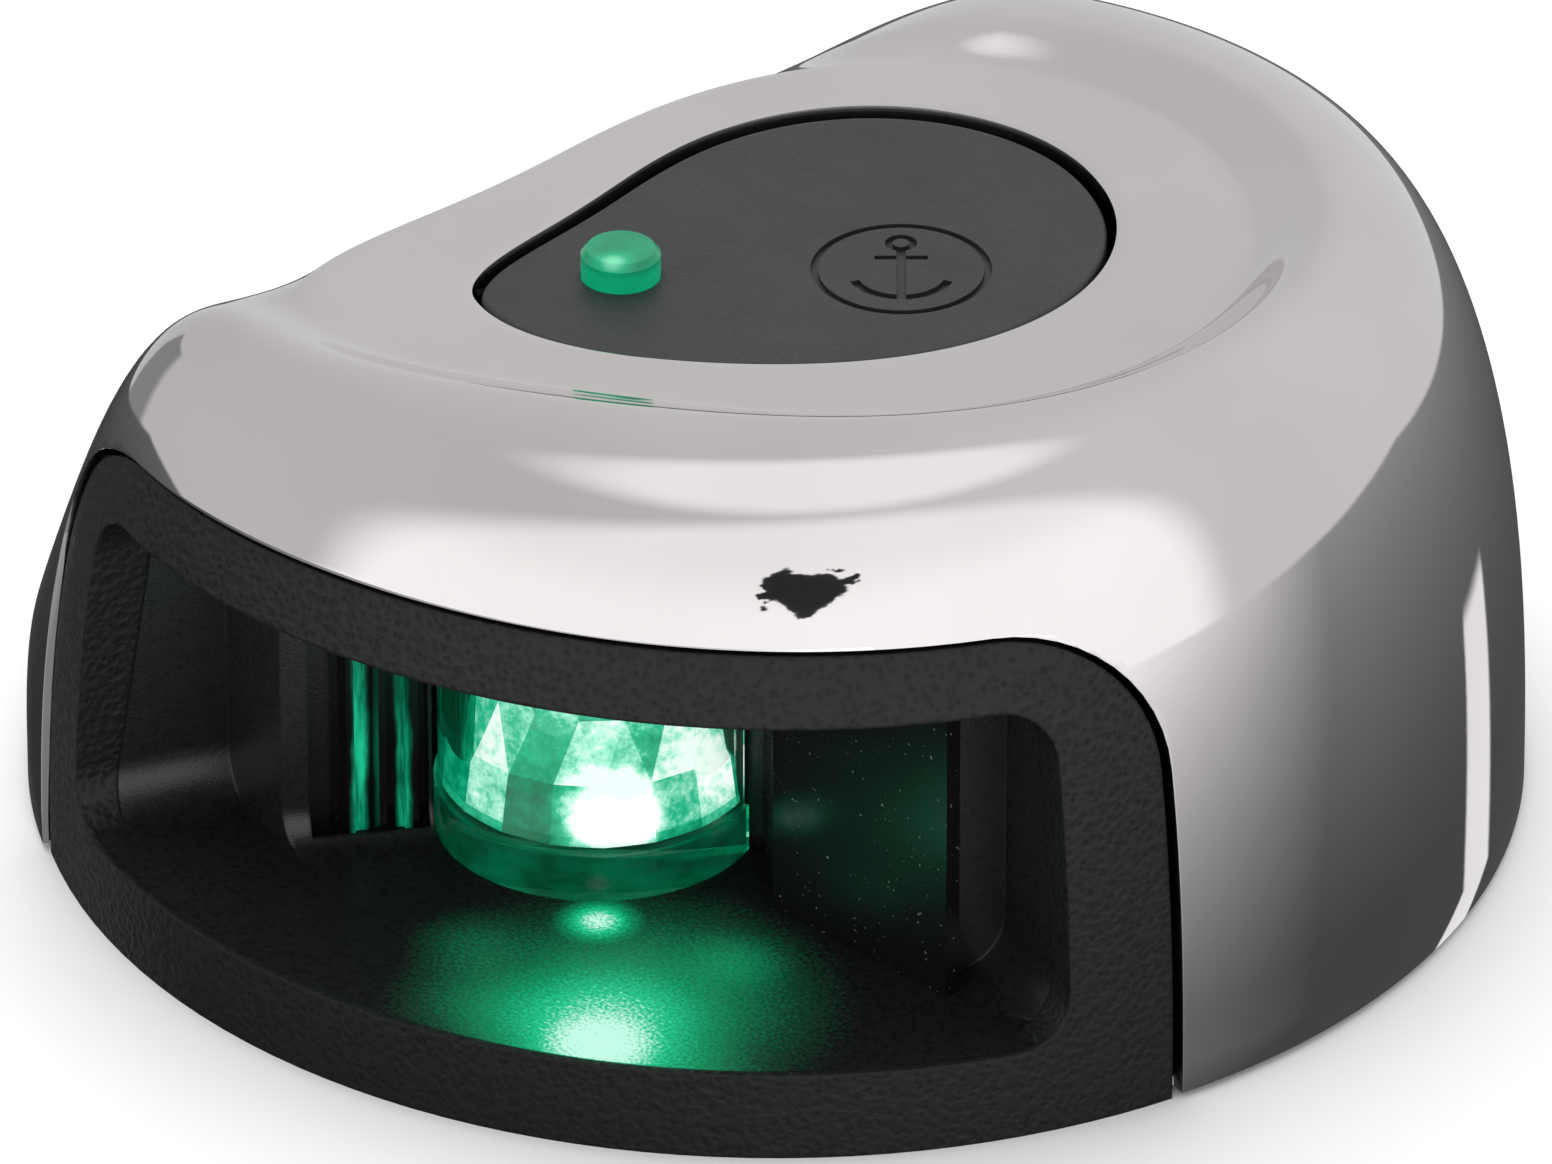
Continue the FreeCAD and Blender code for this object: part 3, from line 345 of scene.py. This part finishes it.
def housing_moulding():
    """The housing: coarsely grained outside, and satin on the chamber's floor and walls, with the lamp's
    green pools of light painted as emission on and just above the chamber's floor.
    """
    n = Nodes("housing_moulding")
    inside = in_chamber(n)
    grain = n.add(n.cells(2300), n.noise(3400, 4, 0.6), 0.8)
    fine = n.noise(9000, 3, 0.6)
    n.colour(n.ramp(grain, (0.4, (0.006, 0.006, 0.0062)), (0.95, (0.013, 0.0135, 0.0135))))
    low = n.step(n.along(n.place, (0, 0, 1)), FLOOR_HEIGHT + 0.6 * MM, FLOOR_HEIGHT + 0.2 * MM)
    shine = n.mix(inside, 0.25, n.mix(low, 0.6, 0.05))
    n.link(shine, n.shader.inputs["Specular IOR Level"])
    n.bump(n.mix(inside, grain, n.math("MULTIPLY", fine, 0.3)), 0.00007, edge=0.25 * MM)
    n.rough(n.mix(inside, n.spread(grain, 0.3, 1.2, 0.50, 0.28), n.spread(fine, 0.3, 0.7, 0.18, 0.30)))
    # Painted light: the lamp's green pools on the chamber floor, given as emission inside the chamber.
    lit = n.math("MULTIPLY", pools_of_light(n), inside)
    glow = n.ramp(lit, (0.07, (0.0, 0.0, 0.0)), (0.2, (0.0, 0.04, 0.017)), (0.5, (0.0, 0.26, 0.10)),
                  (0.75, (0.01, 0.56, 0.27)), (1.0, (0.55, 0.96, 0.80)))
    n.link(glow, n.shader.inputs["Emission Color"])
    n.set(Emission_Strength=1.0)
    return n.material


# Green pools of the lamp's light, painted as emission on the chamber's floor: place ahead and aside in the
# source's frame and radius, in millimetres, and how bright its middle is.
POOLS = (
    (9.9, 3.2, 2.8, 0.76),
    (22.0, 7.1, 4.2, 0.38),
    (20.5, 6.4, 8.5, 0.43),
    (17.5, 7.0, 15.5, 0.50),
    (14.0, -3.1, 4.5, 0.13),
    (19.6, -1.3, 5.5, 0.10),
    (11.6, 11.4, 4.0, 0.14),
    (24.5, 12.5, 6.0, 0.20),
)


def pools_of_light(n):
    """How brightly the painted pools of the lamp's light cover each place, with the grain of the moulding
    in it.
    """
    total = n.spread(n.noise(4200, 2), 0.3, 0.7, -0.05, 0.05)
    for ahead, aside, radius, share in POOLS:
        middle = from_source(ahead, aside, FLOOR_HEIGHT / MM)
        total = n.add(total, n.near(middle, radius * MM), share)
    height = n.along(n.place, (0, 0, 1))
    upward = n.step(height, FLOOR_HEIGHT + 3.0 * MM, FLOOR_HEIGHT)
    downward = n.step(height, FLOOR_HEIGHT - 0.4 * MM, FLOOR_HEIGHT - 0.1 * MM)
    sparkle = n.spread(n.noise(5200, 1), 0.3, 0.7, 0.86, 1.14)
    return n.math("MULTIPLY", n.math("MULTIPLY", total, sparkle), n.math("MULTIPLY", upward, downward))


# Bright spots in the light guide: place in the source's frame and radius, in millimetres, and how
# bright each middle is.
GUIDE_SPOTS = (
    ((7.0, 3.0, 9.7), 3.7, 0.75),
    ((6.2, 2.6, 16.0), 4.4, 0.12),
    ((3.0, 7.4, 11.5), 4.0, 0.16),
)


def glowing_guide():
    """The lit light guide: pale and green facets by the way they face, white-hot low in front."""
    n = Nodes("glowing_guide")
    n.colour(n.ramp(n.noise(700, 3), (0.3, (0.0, 0.12, 0.06)), (0.7, (0.0, 0.2, 0.1))))
    n.set(Roughness=0.12)
    facing = n.node("ShaderNodeNewGeometry").outputs["True Normal"]
    facets = n.node("ShaderNodeTexNoise")
    n.link(facing, facets.inputs["Vector"])
    facets.inputs["Scale"].default_value = 3.4
    facets.inputs["Detail"].default_value = 0.0
    level = n.add(n.spread(facets.outputs["Fac"], 0.0, 1.0, 0.14, 0.86), n.noise(1100, 6, 0.75), 0.5)
    for spot, radius, share in GUIDE_SPOTS:
        level = n.add(level, n.near(from_source(*spot), radius * MM), share)
    glow = n.ramp(level, (0.58, (0.0, 0.07, 0.035)), (0.70, (0.0, 0.20, 0.10)), (0.82, (0.02, 0.42, 0.24)),
                  (0.92, (0.38, 0.78, 0.62)), (1.0, (1.0, 1.0, 1.0)))
    n.link(glow, n.shader.inputs["Emission Color"])
    n.set(Emission_Strength=1.1)
    return n.material


def telltale_green():
    """The tell-tale's moulded green tip, lit through from below."""
    n = Nodes("telltale_green")
    n.colour(n.ramp(n.noise(600, 3), (0.3, (0.0, 0.22, 0.11)), (0.7, (0.005, 0.31, 0.15))))
    n.set(IOR=1.49, Transmission_Weight=0.35)
    n.rough(n.spread(n.noise(1500, 3), 0.3, 0.7, 0.08, 0.16))
    n.bump(n.noise(700, 2), 0.00001, 0.4)
    rim = n.near(TELLTALE_RIM * MM, 1.5 * MM)
    low = n.step(n.along(n.place, (0, 0, 1)), 35.0 * MM, 34.2 * MM)
    glow = n.ramp(n.math("MAXIMUM", rim, n.math("MULTIPLY", low, 0.5)),
                  (0.0, (0.0, 0.05, 0.025)), (0.5, (0.0, 0.30, 0.15)), (1.0, (0.35, 0.95, 0.62)))
    n.link(glow, n.shader.inputs["Emission Color"])
    n.set(Emission_Strength=0.6)
    return n.material


def gloss_black(name, speck):
    """Glossy black plastic, and the tone of the specks of dust on it."""
    n = Nodes(name)
    dust = n.noise(3800, 1)
    n.colour(n.ramp(dust, (0.73, (0.006, 0.006, 0.007)), (0.77, (speck * 0.9, speck, speck * 0.95))))
    n.rough(n.spread(n.noise(700, 4), 0.3, 0.7, 0.08, 0.2))
    n.bump(n.noise(260, 3), 0.00004, 0.5)
    return n


def forward_black():
    return gloss_black("forward_black", 0.18).material


def baffle_black():
    """The baffle: two of its ribs carry bright streaks of the lamp's light, painted on as emission."""
    n = gloss_black("baffle_black", 0.03)
    turn = LIGHT_AXIS - BAFFLE_ANGLE
    from_lamp = n.math("SUBTRACT", n.along(n.place, (math.cos(turn), math.sin(turn), 0)),
                       SOURCE.x * math.cos(turn) + SOURCE.y * math.sin(turn))
    wander = n.add(from_lamp, n.noise(300, 3), 0.0006)
    # Painted light: streaks of the lamp's green light on two ribs, given as emission.
    lit = 0.0
    for reach, width, share in LIT_RIBS:
        off = n.math("ABSOLUTE", n.math("SUBTRACT", wander, reach * MM))
        lit = n.add(lit, n.step(off, width * MM, width * MM / 3), share)
    streaks = n.spread(n.noise(700, 4, 0.7, stretch=(1.0, 1.0, 0.12)), 0.35, 0.62, 0.15, 1.0)
    lit = n.math("MULTIPLY", lit, streaks)
    glow = n.ramp(lit, (0.0, (0.0, 0.0, 0.0)), (0.35, (0.0, 0.10, 0.05)), (0.9, (0.01, 0.50, 0.27)))
    n.link(glow, n.shader.inputs["Emission Color"])
    n.set(Emission_Strength=1.0)
    return n.material


def lens_acrylic():
    """The clear lens, with the lamp's green light in its thick foot painted on as a green tint and a faint
    emission.
    """
    n = Nodes("lens_clear")
    n.set(IOR=1.49, Transmission_Weight=1.0)
    # Painted light: the foot's green tint and faint glow stand in for the lamp's light inside it.
    foot = n.step(n.along(n.place, (0, 0, 1)), LENS_FOOT_TOP, LENS_FOOT_TOP - 0.8 * MM)
    level = n.add(foot, n.noise(300, 3), 0.1)
    n.colour(n.ramp(level, (0.05, (0.86, 0.97, 0.92)), (1.0, (0.12, 0.62, 0.38))))
    glow = n.ramp(n.math("MULTIPLY", foot, n.noise(420, 4)), (0.35, (0.0, 0.01, 0.004)),
                  (0.65, (0.0, 0.05, 0.025)))
    n.link(glow, n.shader.inputs["Emission Color"])
    n.set(Emission_Strength=1.0)
    n.rough(n.spread(n.noise(900, 3), 0.3, 0.7, 0.006, 0.014))
    n.bump(n.noise(500, 2), 0.00001, 0.4)
    return n.material


def rubber():
    n = Nodes("rubber")
    n.colour(n.ramp(n.noise(500, 5), (0.3, (0.018, 0.018, 0.018)), (0.7, (0.035, 0.035, 0.035))))
    n.rough(n.spread(n.noise(2500, 4), 0.3, 0.7, 0.6, 0.85))
    n.bump(n.noise(3500, 4), 0.00003)
    return n.material


def circuit_board():
    n = Nodes("circuit_board")
    n.colour(n.ramp(n.noise(900, 2), (0.44, (0.012, 0.1, 0.045)), (0.56, (0.03, 0.17, 0.08))))
    n.rough(n.spread(n.noise(1500, 3), 0.3, 0.7, 0.3, 0.5))
    n.bump(n.noise(1200, 1), 0.00003, 0.6)
    return n.material


def ceramic():
    n = Nodes("ceramic")
    n.colour(n.ramp(n.noise(900, 3), (0.3, (0.75, 0.75, 0.7)), (0.7, (0.85, 0.85, 0.8))))
    n.rough(n.spread(n.noise(2500, 3), 0.3, 0.7, 0.3, 0.5))
    return n.material


def aluminium():
    n = Nodes("aluminium")
    n.set(Metallic=1.0)
    n.colour(n.ramp(n.noise(400, 4), (0.3, (0.66, 0.67, 0.68)), (0.7, (0.78, 0.79, 0.8))))
    n.rough(n.spread(n.noise(1800, 4), 0.3, 0.7, 0.25, 0.45))
    n.bump(n.noise(2600, 2, 0.5, stretch=(1.0, 1.0, 0.08)), 0.00001, 0.5)
    return n.material


def component_black():
    n = Nodes("component_black")
    n.colour(n.ramp(n.noise(700, 4), (0.3, (0.02, 0.02, 0.022)), (0.7, (0.05, 0.05, 0.055))))
    n.rough(n.spread(n.noise(2500, 3), 0.3, 0.7, 0.35, 0.6))
    n.bump(n.noise(4000, 2), 0.00001)
    return n.material


# ---------------------------------------------------------------- carried-over nodes

FINISHES = {
    "plain_steel": (plain_steel, ["cover_springs", "spring_screws", "plate_screws", "driver_screws",
                                  "board_screws"]),
    "housing_moulding": (housing_moulding, ["housing"]),
    "moulding": (lambda: moulded_black("moulding", 4200, 0.00003, (0.010, 0.017), 0.42),
                 ["base_plate", "pipe_holder"]),
    "badge_panel": (lambda: moulded_black("badge_panel", 5200, 0.000015, (0.017, 0.024), 0.46), ["badge"]),
    "forward_black": (forward_black, ["forward_screen"]),
    "baffle_black": (baffle_black, ["aft_baffle"]),
    "lens_clear": (lens_acrylic, ["lens"]),
    "telltale_green": (telltale_green, ["light_pipe"]),
    "rubber": (rubber, ["lens_gasket", "deck_gasket", "plate_seal", "cable_gland", "badge_tape"]),
    "circuit_board": (circuit_board, ["light_board", "driver_board", "telltale_board"]),
    "ceramic": (ceramic, ["emitter", "telltale_led"]),
    "aluminium": (aluminium, ["heat_sink", "capacitor"]),
    "component_black": (component_black, ["driver_chip", "choke", "reverse_diode", "resistors"]),
}


def dress_nodes():
    for make, nodes in FINISHES.values():
        material = make()
        for name in nodes:
            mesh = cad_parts[name].data
            mesh.materials.clear()
            mesh.materials.append(material)


# ---------------------------------------------------------------- built pieces

def linked(name, mesh, material, body, node):
    """A finished mesh as a piece that stands for one CAD node and rides on its body."""
    piece = bpy.data.objects.new(name, mesh)
    scene.collection.objects.link(piece)
    mesh.materials.clear()
    mesh.materials.append(material)
    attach(piece, body)
    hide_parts(node)
    return piece


def apply_modifiers(piece):
    """Bake a piece's modifiers into its mesh."""
    bpy.context.view_layer.update()
    evaluated = piece.evaluated_get(bpy.context.evaluated_depsgraph_get())
    mesh = bpy.data.meshes.new_from_object(evaluated)
    piece.modifiers.clear()
    piece.data = mesh


def cover_skin():
    """The cover's outer face, as a net of rings from the badge opening to the base."""
    columns = [cover_profile(degrees) for degrees in range(360)]
    rows = len(columns[0])
    points = []
    for degrees, column in enumerate(columns):
        turn = math.radians(degrees)
        for radius, height in column:
            points.append((radius * math.cos(turn) * MM, radius * math.sin(turn) * MM, height * MM))
    faces = []
    for column in range(360):
        following = (column + 1) % 360
        for row in range(rows - 1):
            faces.append((column * rows + row, column * rows + row + 1,
                          following * rows + row + 1, following * rows + row))
    mesh = bpy.data.meshes.new("cover_skin")
    mesh.from_pydata(points, [], faces)
    return mesh


def window_columns(radius):
    """Plan place and top height along the window's outline, at one distance from the axis."""
    columns = []
    for side, inward in ((WINDOW_START, 1), (WINDOW_START + WINDOW_SPAN, -1)):
        turn = math.radians(side)
        along = Vector((math.cos(turn), math.sin(turn), 0))
        across = Vector((-math.sin(turn), math.cos(turn), 0)) * inward
        corner = []
        for step in range(0, 13):
            angle = math.radians(step * 7.5)
            place = along * radius + across * WINDOW_CORNER * (1 - math.cos(angle))
            corner.append((place, WINDOW_TOP - WINDOW_CORNER + WINDOW_CORNER * math.sin(angle)))
        columns.append(corner)
    first, last = columns[0], columns[1][::-1]
    start = math.atan2(first[-1][0].y, first[-1][0].x)
    end = math.atan2(last[0][0].y, last[0][0].x)
    middle = []
    for step in range(1, WINDOW_STEPS):
        angle = start + (end - start) * step / WINDOW_STEPS
        middle.append((Vector((math.cos(angle), math.sin(angle), 0)) * radius, WINDOW_TOP))
    return first + middle + last


def window_cutter():
    """The block that cuts the cover's window."""
    maker = bmesh.new()
    rings = []
    for radius in (CUTTER_INNER, CUTTER_OUTER):
        ring = []
        for place, top in window_columns(radius):
            low = maker.verts.new((place + Vector((0, 0, CUTTER_BOTTOM))) * MM)
            high = maker.verts.new((place + Vector((0, 0, top))) * MM)
            ring.append((low, high))
        rings.append(ring)
    inner, outer = rings
    for index in range(len(inner) - 1):
        a, b, c, d = inner[index], inner[index + 1], outer[index + 1], outer[index]
        maker.faces.new((a[0], b[0], b[1], a[1]))
        maker.faces.new((d[0], d[1], c[1], c[0]))
        maker.faces.new((a[1], b[1], c[1], d[1]))
        maker.faces.new((a[0], d[0], c[0], b[0]))
    for index, flip in ((0, False), (-1, True)):
        loop = [inner[index][0], inner[index][1], outer[index][1], outer[index][0]]
        maker.faces.new(loop[::-1] if flip else loop)
    bmesh.ops.recalc_face_normals(maker, faces=maker.faces)
    mesh = bpy.data.meshes.new("window_cutter")
    maker.to_mesh(mesh)
    maker.free()
    cutter = bpy.data.objects.new("window_cutter", mesh)
    scene.collection.objects.link(cutter)
    return cutter


def build_cover(material):
    """The pressed and polished shell, with its window, badge opening and softened edges."""
    skin = cover_skin()
    piece = bpy.data.objects.new("cover_shell", skin)
    scene.collection.objects.link(piece)
    wall = piece.modifiers.new("wall", "SOLIDIFY")
    wall.thickness = COVER_WALL * MM
    wall.offset = -1
    cutter = window_cutter()
    window = piece.modifiers.new("window", "BOOLEAN")
    window.object = cutter
    window.operation = "DIFFERENCE"
    window.solver = "MANIFOLD"
    edges = piece.modifiers.new("edges", "BEVEL")
    edges.width = EDGE_ROUNDING * MM
    edges.segments = 2
    edges.limit_method = "ANGLE"
    edges.angle_limit = math.radians(50)
    edges.harden_normals = False
    apply_modifiers(piece)
    bpy.data.objects.remove(cutter)
    mesh = piece.data
    mesh.polygons.foreach_set("use_smooth", [True] * len(mesh.polygons))
    mesh.materials.clear()
    mesh.materials.append(material)
    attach(piece, "cover")
    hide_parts("cover")


# Rings of the faceted light guide, lowest first: radius and height in the source's frame, and how
# far the ring is turned, in facets. Its rim is bedded in the lens, so that it fills the lens.
GUIDE_RINGS = ((8.0, 8.0, 0), (7.8, 8.5, 0), (7.0, 11.3, 0), (6.5, 15.0, 0.5), (8.0, 21.5, 0))
GUIDE_SIDES = 18
GUIDE_BACK = 1.0


def guide_ring(maker, radius, height, twist):
    """One ring of corners, cut flat at the back where the light board stands."""
    ring = []
    for side in range(GUIDE_SIDES):
        angle = 2 * math.pi * (side + twist) / GUIDE_SIDES
        ahead = max(radius * math.cos(angle), GUIDE_BACK)
        ring.append(maker.verts.new(from_source(ahead, radius * math.sin(angle), height)))
    return ring


def build_light_guide(material):
    """The faceted light guide: a skirt of upright facets under slanting ones that flare to its top."""
    maker = bmesh.new()
    rings = [guide_ring(maker, *ring) for ring in GUIDE_RINGS]
    for level, (low, high) in enumerate(zip(rings, rings[1:])):
        turned = GUIDE_RINGS[level + 1][2] - GUIDE_RINGS[level][2]
        for side in range(GUIDE_SIDES):
            after = (side + 1) % GUIDE_SIDES
            if turned > 0:
                maker.faces.new((low[side], low[after], high[side]))
                maker.faces.new((high[side], low[after], high[after]))
            elif turned < 0:
                maker.faces.new((low[side], high[after], high[side]))
                maker.faces.new((low[side], low[after], high[after]))
            else:
                maker.faces.new((low[side], low[after], high[after], high[side]))
    maker.faces.new(rings[0][::-1])
    maker.faces.new(rings[-1])
    bmesh.ops.remove_doubles(maker, verts=maker.verts, dist=0.01 * MM)
    bmesh.ops.dissolve_degenerate(maker, edges=maker.edges, dist=0.01 * MM)
    bmesh.ops.recalc_face_normals(maker, faces=maker.faces)
    mesh = bpy.data.meshes.new("light_guide")
    maker.to_mesh(mesh)
    maker.free()
    piece = linked("light_guide", mesh, material, "base", "optic")


# ---------------------------------------------------------------- studio

def stage_plane(name, size, spot, material):
    mesh = bpy.data.meshes.new(name)
    half = size / 2
    mesh.from_pydata([(-half, -half, 0), (half, -half, 0), (half, half, 0), (-half, half, 0)], [],
                     [(0, 1, 2, 3)])
    plane = bpy.data.objects.new(name, mesh)
    plane.location = spot
    mesh.materials.append(material)
    scene.collection.objects.link(plane)
    return plane


def floor_paint():
    n = Nodes("floor_paint")
    n.colour(n.ramp(n.noise(8, 3), (0.3, (0.86, 0.86, 0.86)), (0.7, (0.9, 0.9, 0.9))))
    n.set(Roughness=0.7, Specular_IOR_Level=0.0)
    return n.material


def area_light(name, spot, target, size, power):
    data = bpy.data.lights.new(name, "AREA")
    data.shape = "RECTANGLE"
    data.size = size
    data.size_y = size
    data.energy = power
    light = bpy.data.objects.new(name, data)
    light.location = spot
    light.rotation_euler = (Vector(target) - Vector(spot)).to_track_quat("-Z", "Y").to_euler()
    scene.collection.objects.link(light)
    return light


def studio_brightness(graph, direction):
    """What polished faces see: a soft tent in front and overhead, grey sides and a dark table."""
    ahead = graph.along(direction, CAMERA_SIDE)
    right = graph.along(direction, CAMERA_RIGHT)
    height = graph.along(direction, (0, 0, 1))
    sides = graph.mix(graph.step(right, -0.4, 0.4), 0.64, 0.76)
    tent = graph.math("MAXIMUM", graph.step(ahead, 0.30, 0.46), graph.step(height, 0.925, 0.975))
    tent_light = graph.mix(graph.step(height, 0.5, 0.8), 1.27, 1.12)
    sky = graph.mix(tent, sides, tent_light)
    across = graph.math("POWER", graph.math("DIVIDE", right, 0.105), 2.0)
    upward = graph.math("DIVIDE", graph.math("SUBTRACT", height, 0.635), 0.10)
    ragged = graph.add(graph.math("ADD", across, graph.math("POWER", upward, 2.0)), graph.noise(13, 4), 3.2)
    viewer = graph.math("MULTIPLY", graph.step(ragged, 2.55, 2.45), graph.step(ahead, 0.3, 0.4))
    sky = graph.mix(viewer, sky, 0.03)
    behind = graph.math("MAXIMUM", graph.math("SUBTRACT", -0.4, ahead), 0.0)
    table_edge = graph.add(graph.math("MULTIPLY_ADD", ahead, 0.11, -0.03), behind, -0.25)
    table = graph.math("MULTIPLY_ADD", graph.math("MAXIMUM", ahead, 0.0), 0.85, 0.26)
    table = graph.math("MULTIPLY", table, graph.spread(height, -0.5, 0.0, 0.3, 1.45))
    streak = graph.step(graph.math("ABSOLUTE", graph.math("SUBTRACT", ahead, -0.62)), 0.06, 0.045)
    sliver = graph.math("MULTIPLY", streak, graph.step(height, -0.40, -0.42))
    table = graph.mix(sliver, table, 1.0)
    left = graph.step(right, 0.1, -0.3)
    table = graph.math("MULTIPLY", table, graph.mix(left, 1.0, 0.45))
    flag = graph.math("MULTIPLY", graph.step(right, -0.62, -0.68), graph.step(ahead, -0.46, -0.52))
    flag = graph.math("MULTIPLY", flag, graph.step(height, 0.32, 0.28))
    sky = graph.mix(flag, sky, 0.30)
    return graph.mix(graph.step(graph.math("SUBTRACT", height, table_edge), -0.012, 0.004), table, sky)


def build_world():
    """Even white light on everything, with the studio map seen only in reflections."""
    world = bpy.data.worlds.new("studio")
    scene.world = world
    world.use_nodes = True
    graph = Graph(world.node_tree, "Generated")
    background = world.node_tree.nodes["Background"]
    seen = studio_brightness(graph, graph.place)
    glossy = graph.node("ShaderNodeLightPath").outputs["Is Glossy Ray"]
    graph.link(graph.mix(glossy, EVEN_LIGHT, seen), background.inputs["Color"])


EVEN_LIGHT = 1.0
CAMERA_AZIMUTH = math.radians(51.10)
CAMERA_ELEVATION = math.radians(31.42)
CAMERA_DISTANCE = 0.900
CAMERA_LENS = 390.1
CAMERA_AIM = Vector((0, 0, 0.0109))
CAMERA_SIDE = Vector((math.sin(CAMERA_AZIMUTH), -math.cos(CAMERA_AZIMUTH), 0))
CAMERA_RIGHT = Vector((math.cos(CAMERA_AZIMUTH), math.sin(CAMERA_AZIMUTH), 0))


def build_camera():
    data = bpy.data.cameras.new("camera")
    data.sensor_width = 36
    data.lens = CAMERA_LENS
    camera = bpy.data.objects.new("camera", data)
    back = CAMERA_SIDE * math.cos(CAMERA_ELEVATION) + Vector((0, 0, math.sin(CAMERA_ELEVATION)))
    camera.location = back * CAMERA_DISTANCE
    camera.rotation_euler = (CAMERA_AIM - camera.location).to_track_quat("-Z", "Y").to_euler()
    scene.collection.objects.link(camera)
    scene.camera = camera


def build_studio():
    scene.view_settings.view_transform = "Standard"
    build_world()
    floor = stage_plane("floor", size=6.0, spot=(0, 0, 0), material=floor_paint())
    floor.visible_glossy = False
    key = area_light("key", spot=(-0.3, 0.1, 0.9), target=(0, 0, 0.02), size=0.7, power=4)
    key.visible_glossy = False


dress_nodes()
build_cover(polished_steel())
build_light_guide(glowing_guide())
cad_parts["lens"].visible_shadow = False
build_studio()
build_camera()
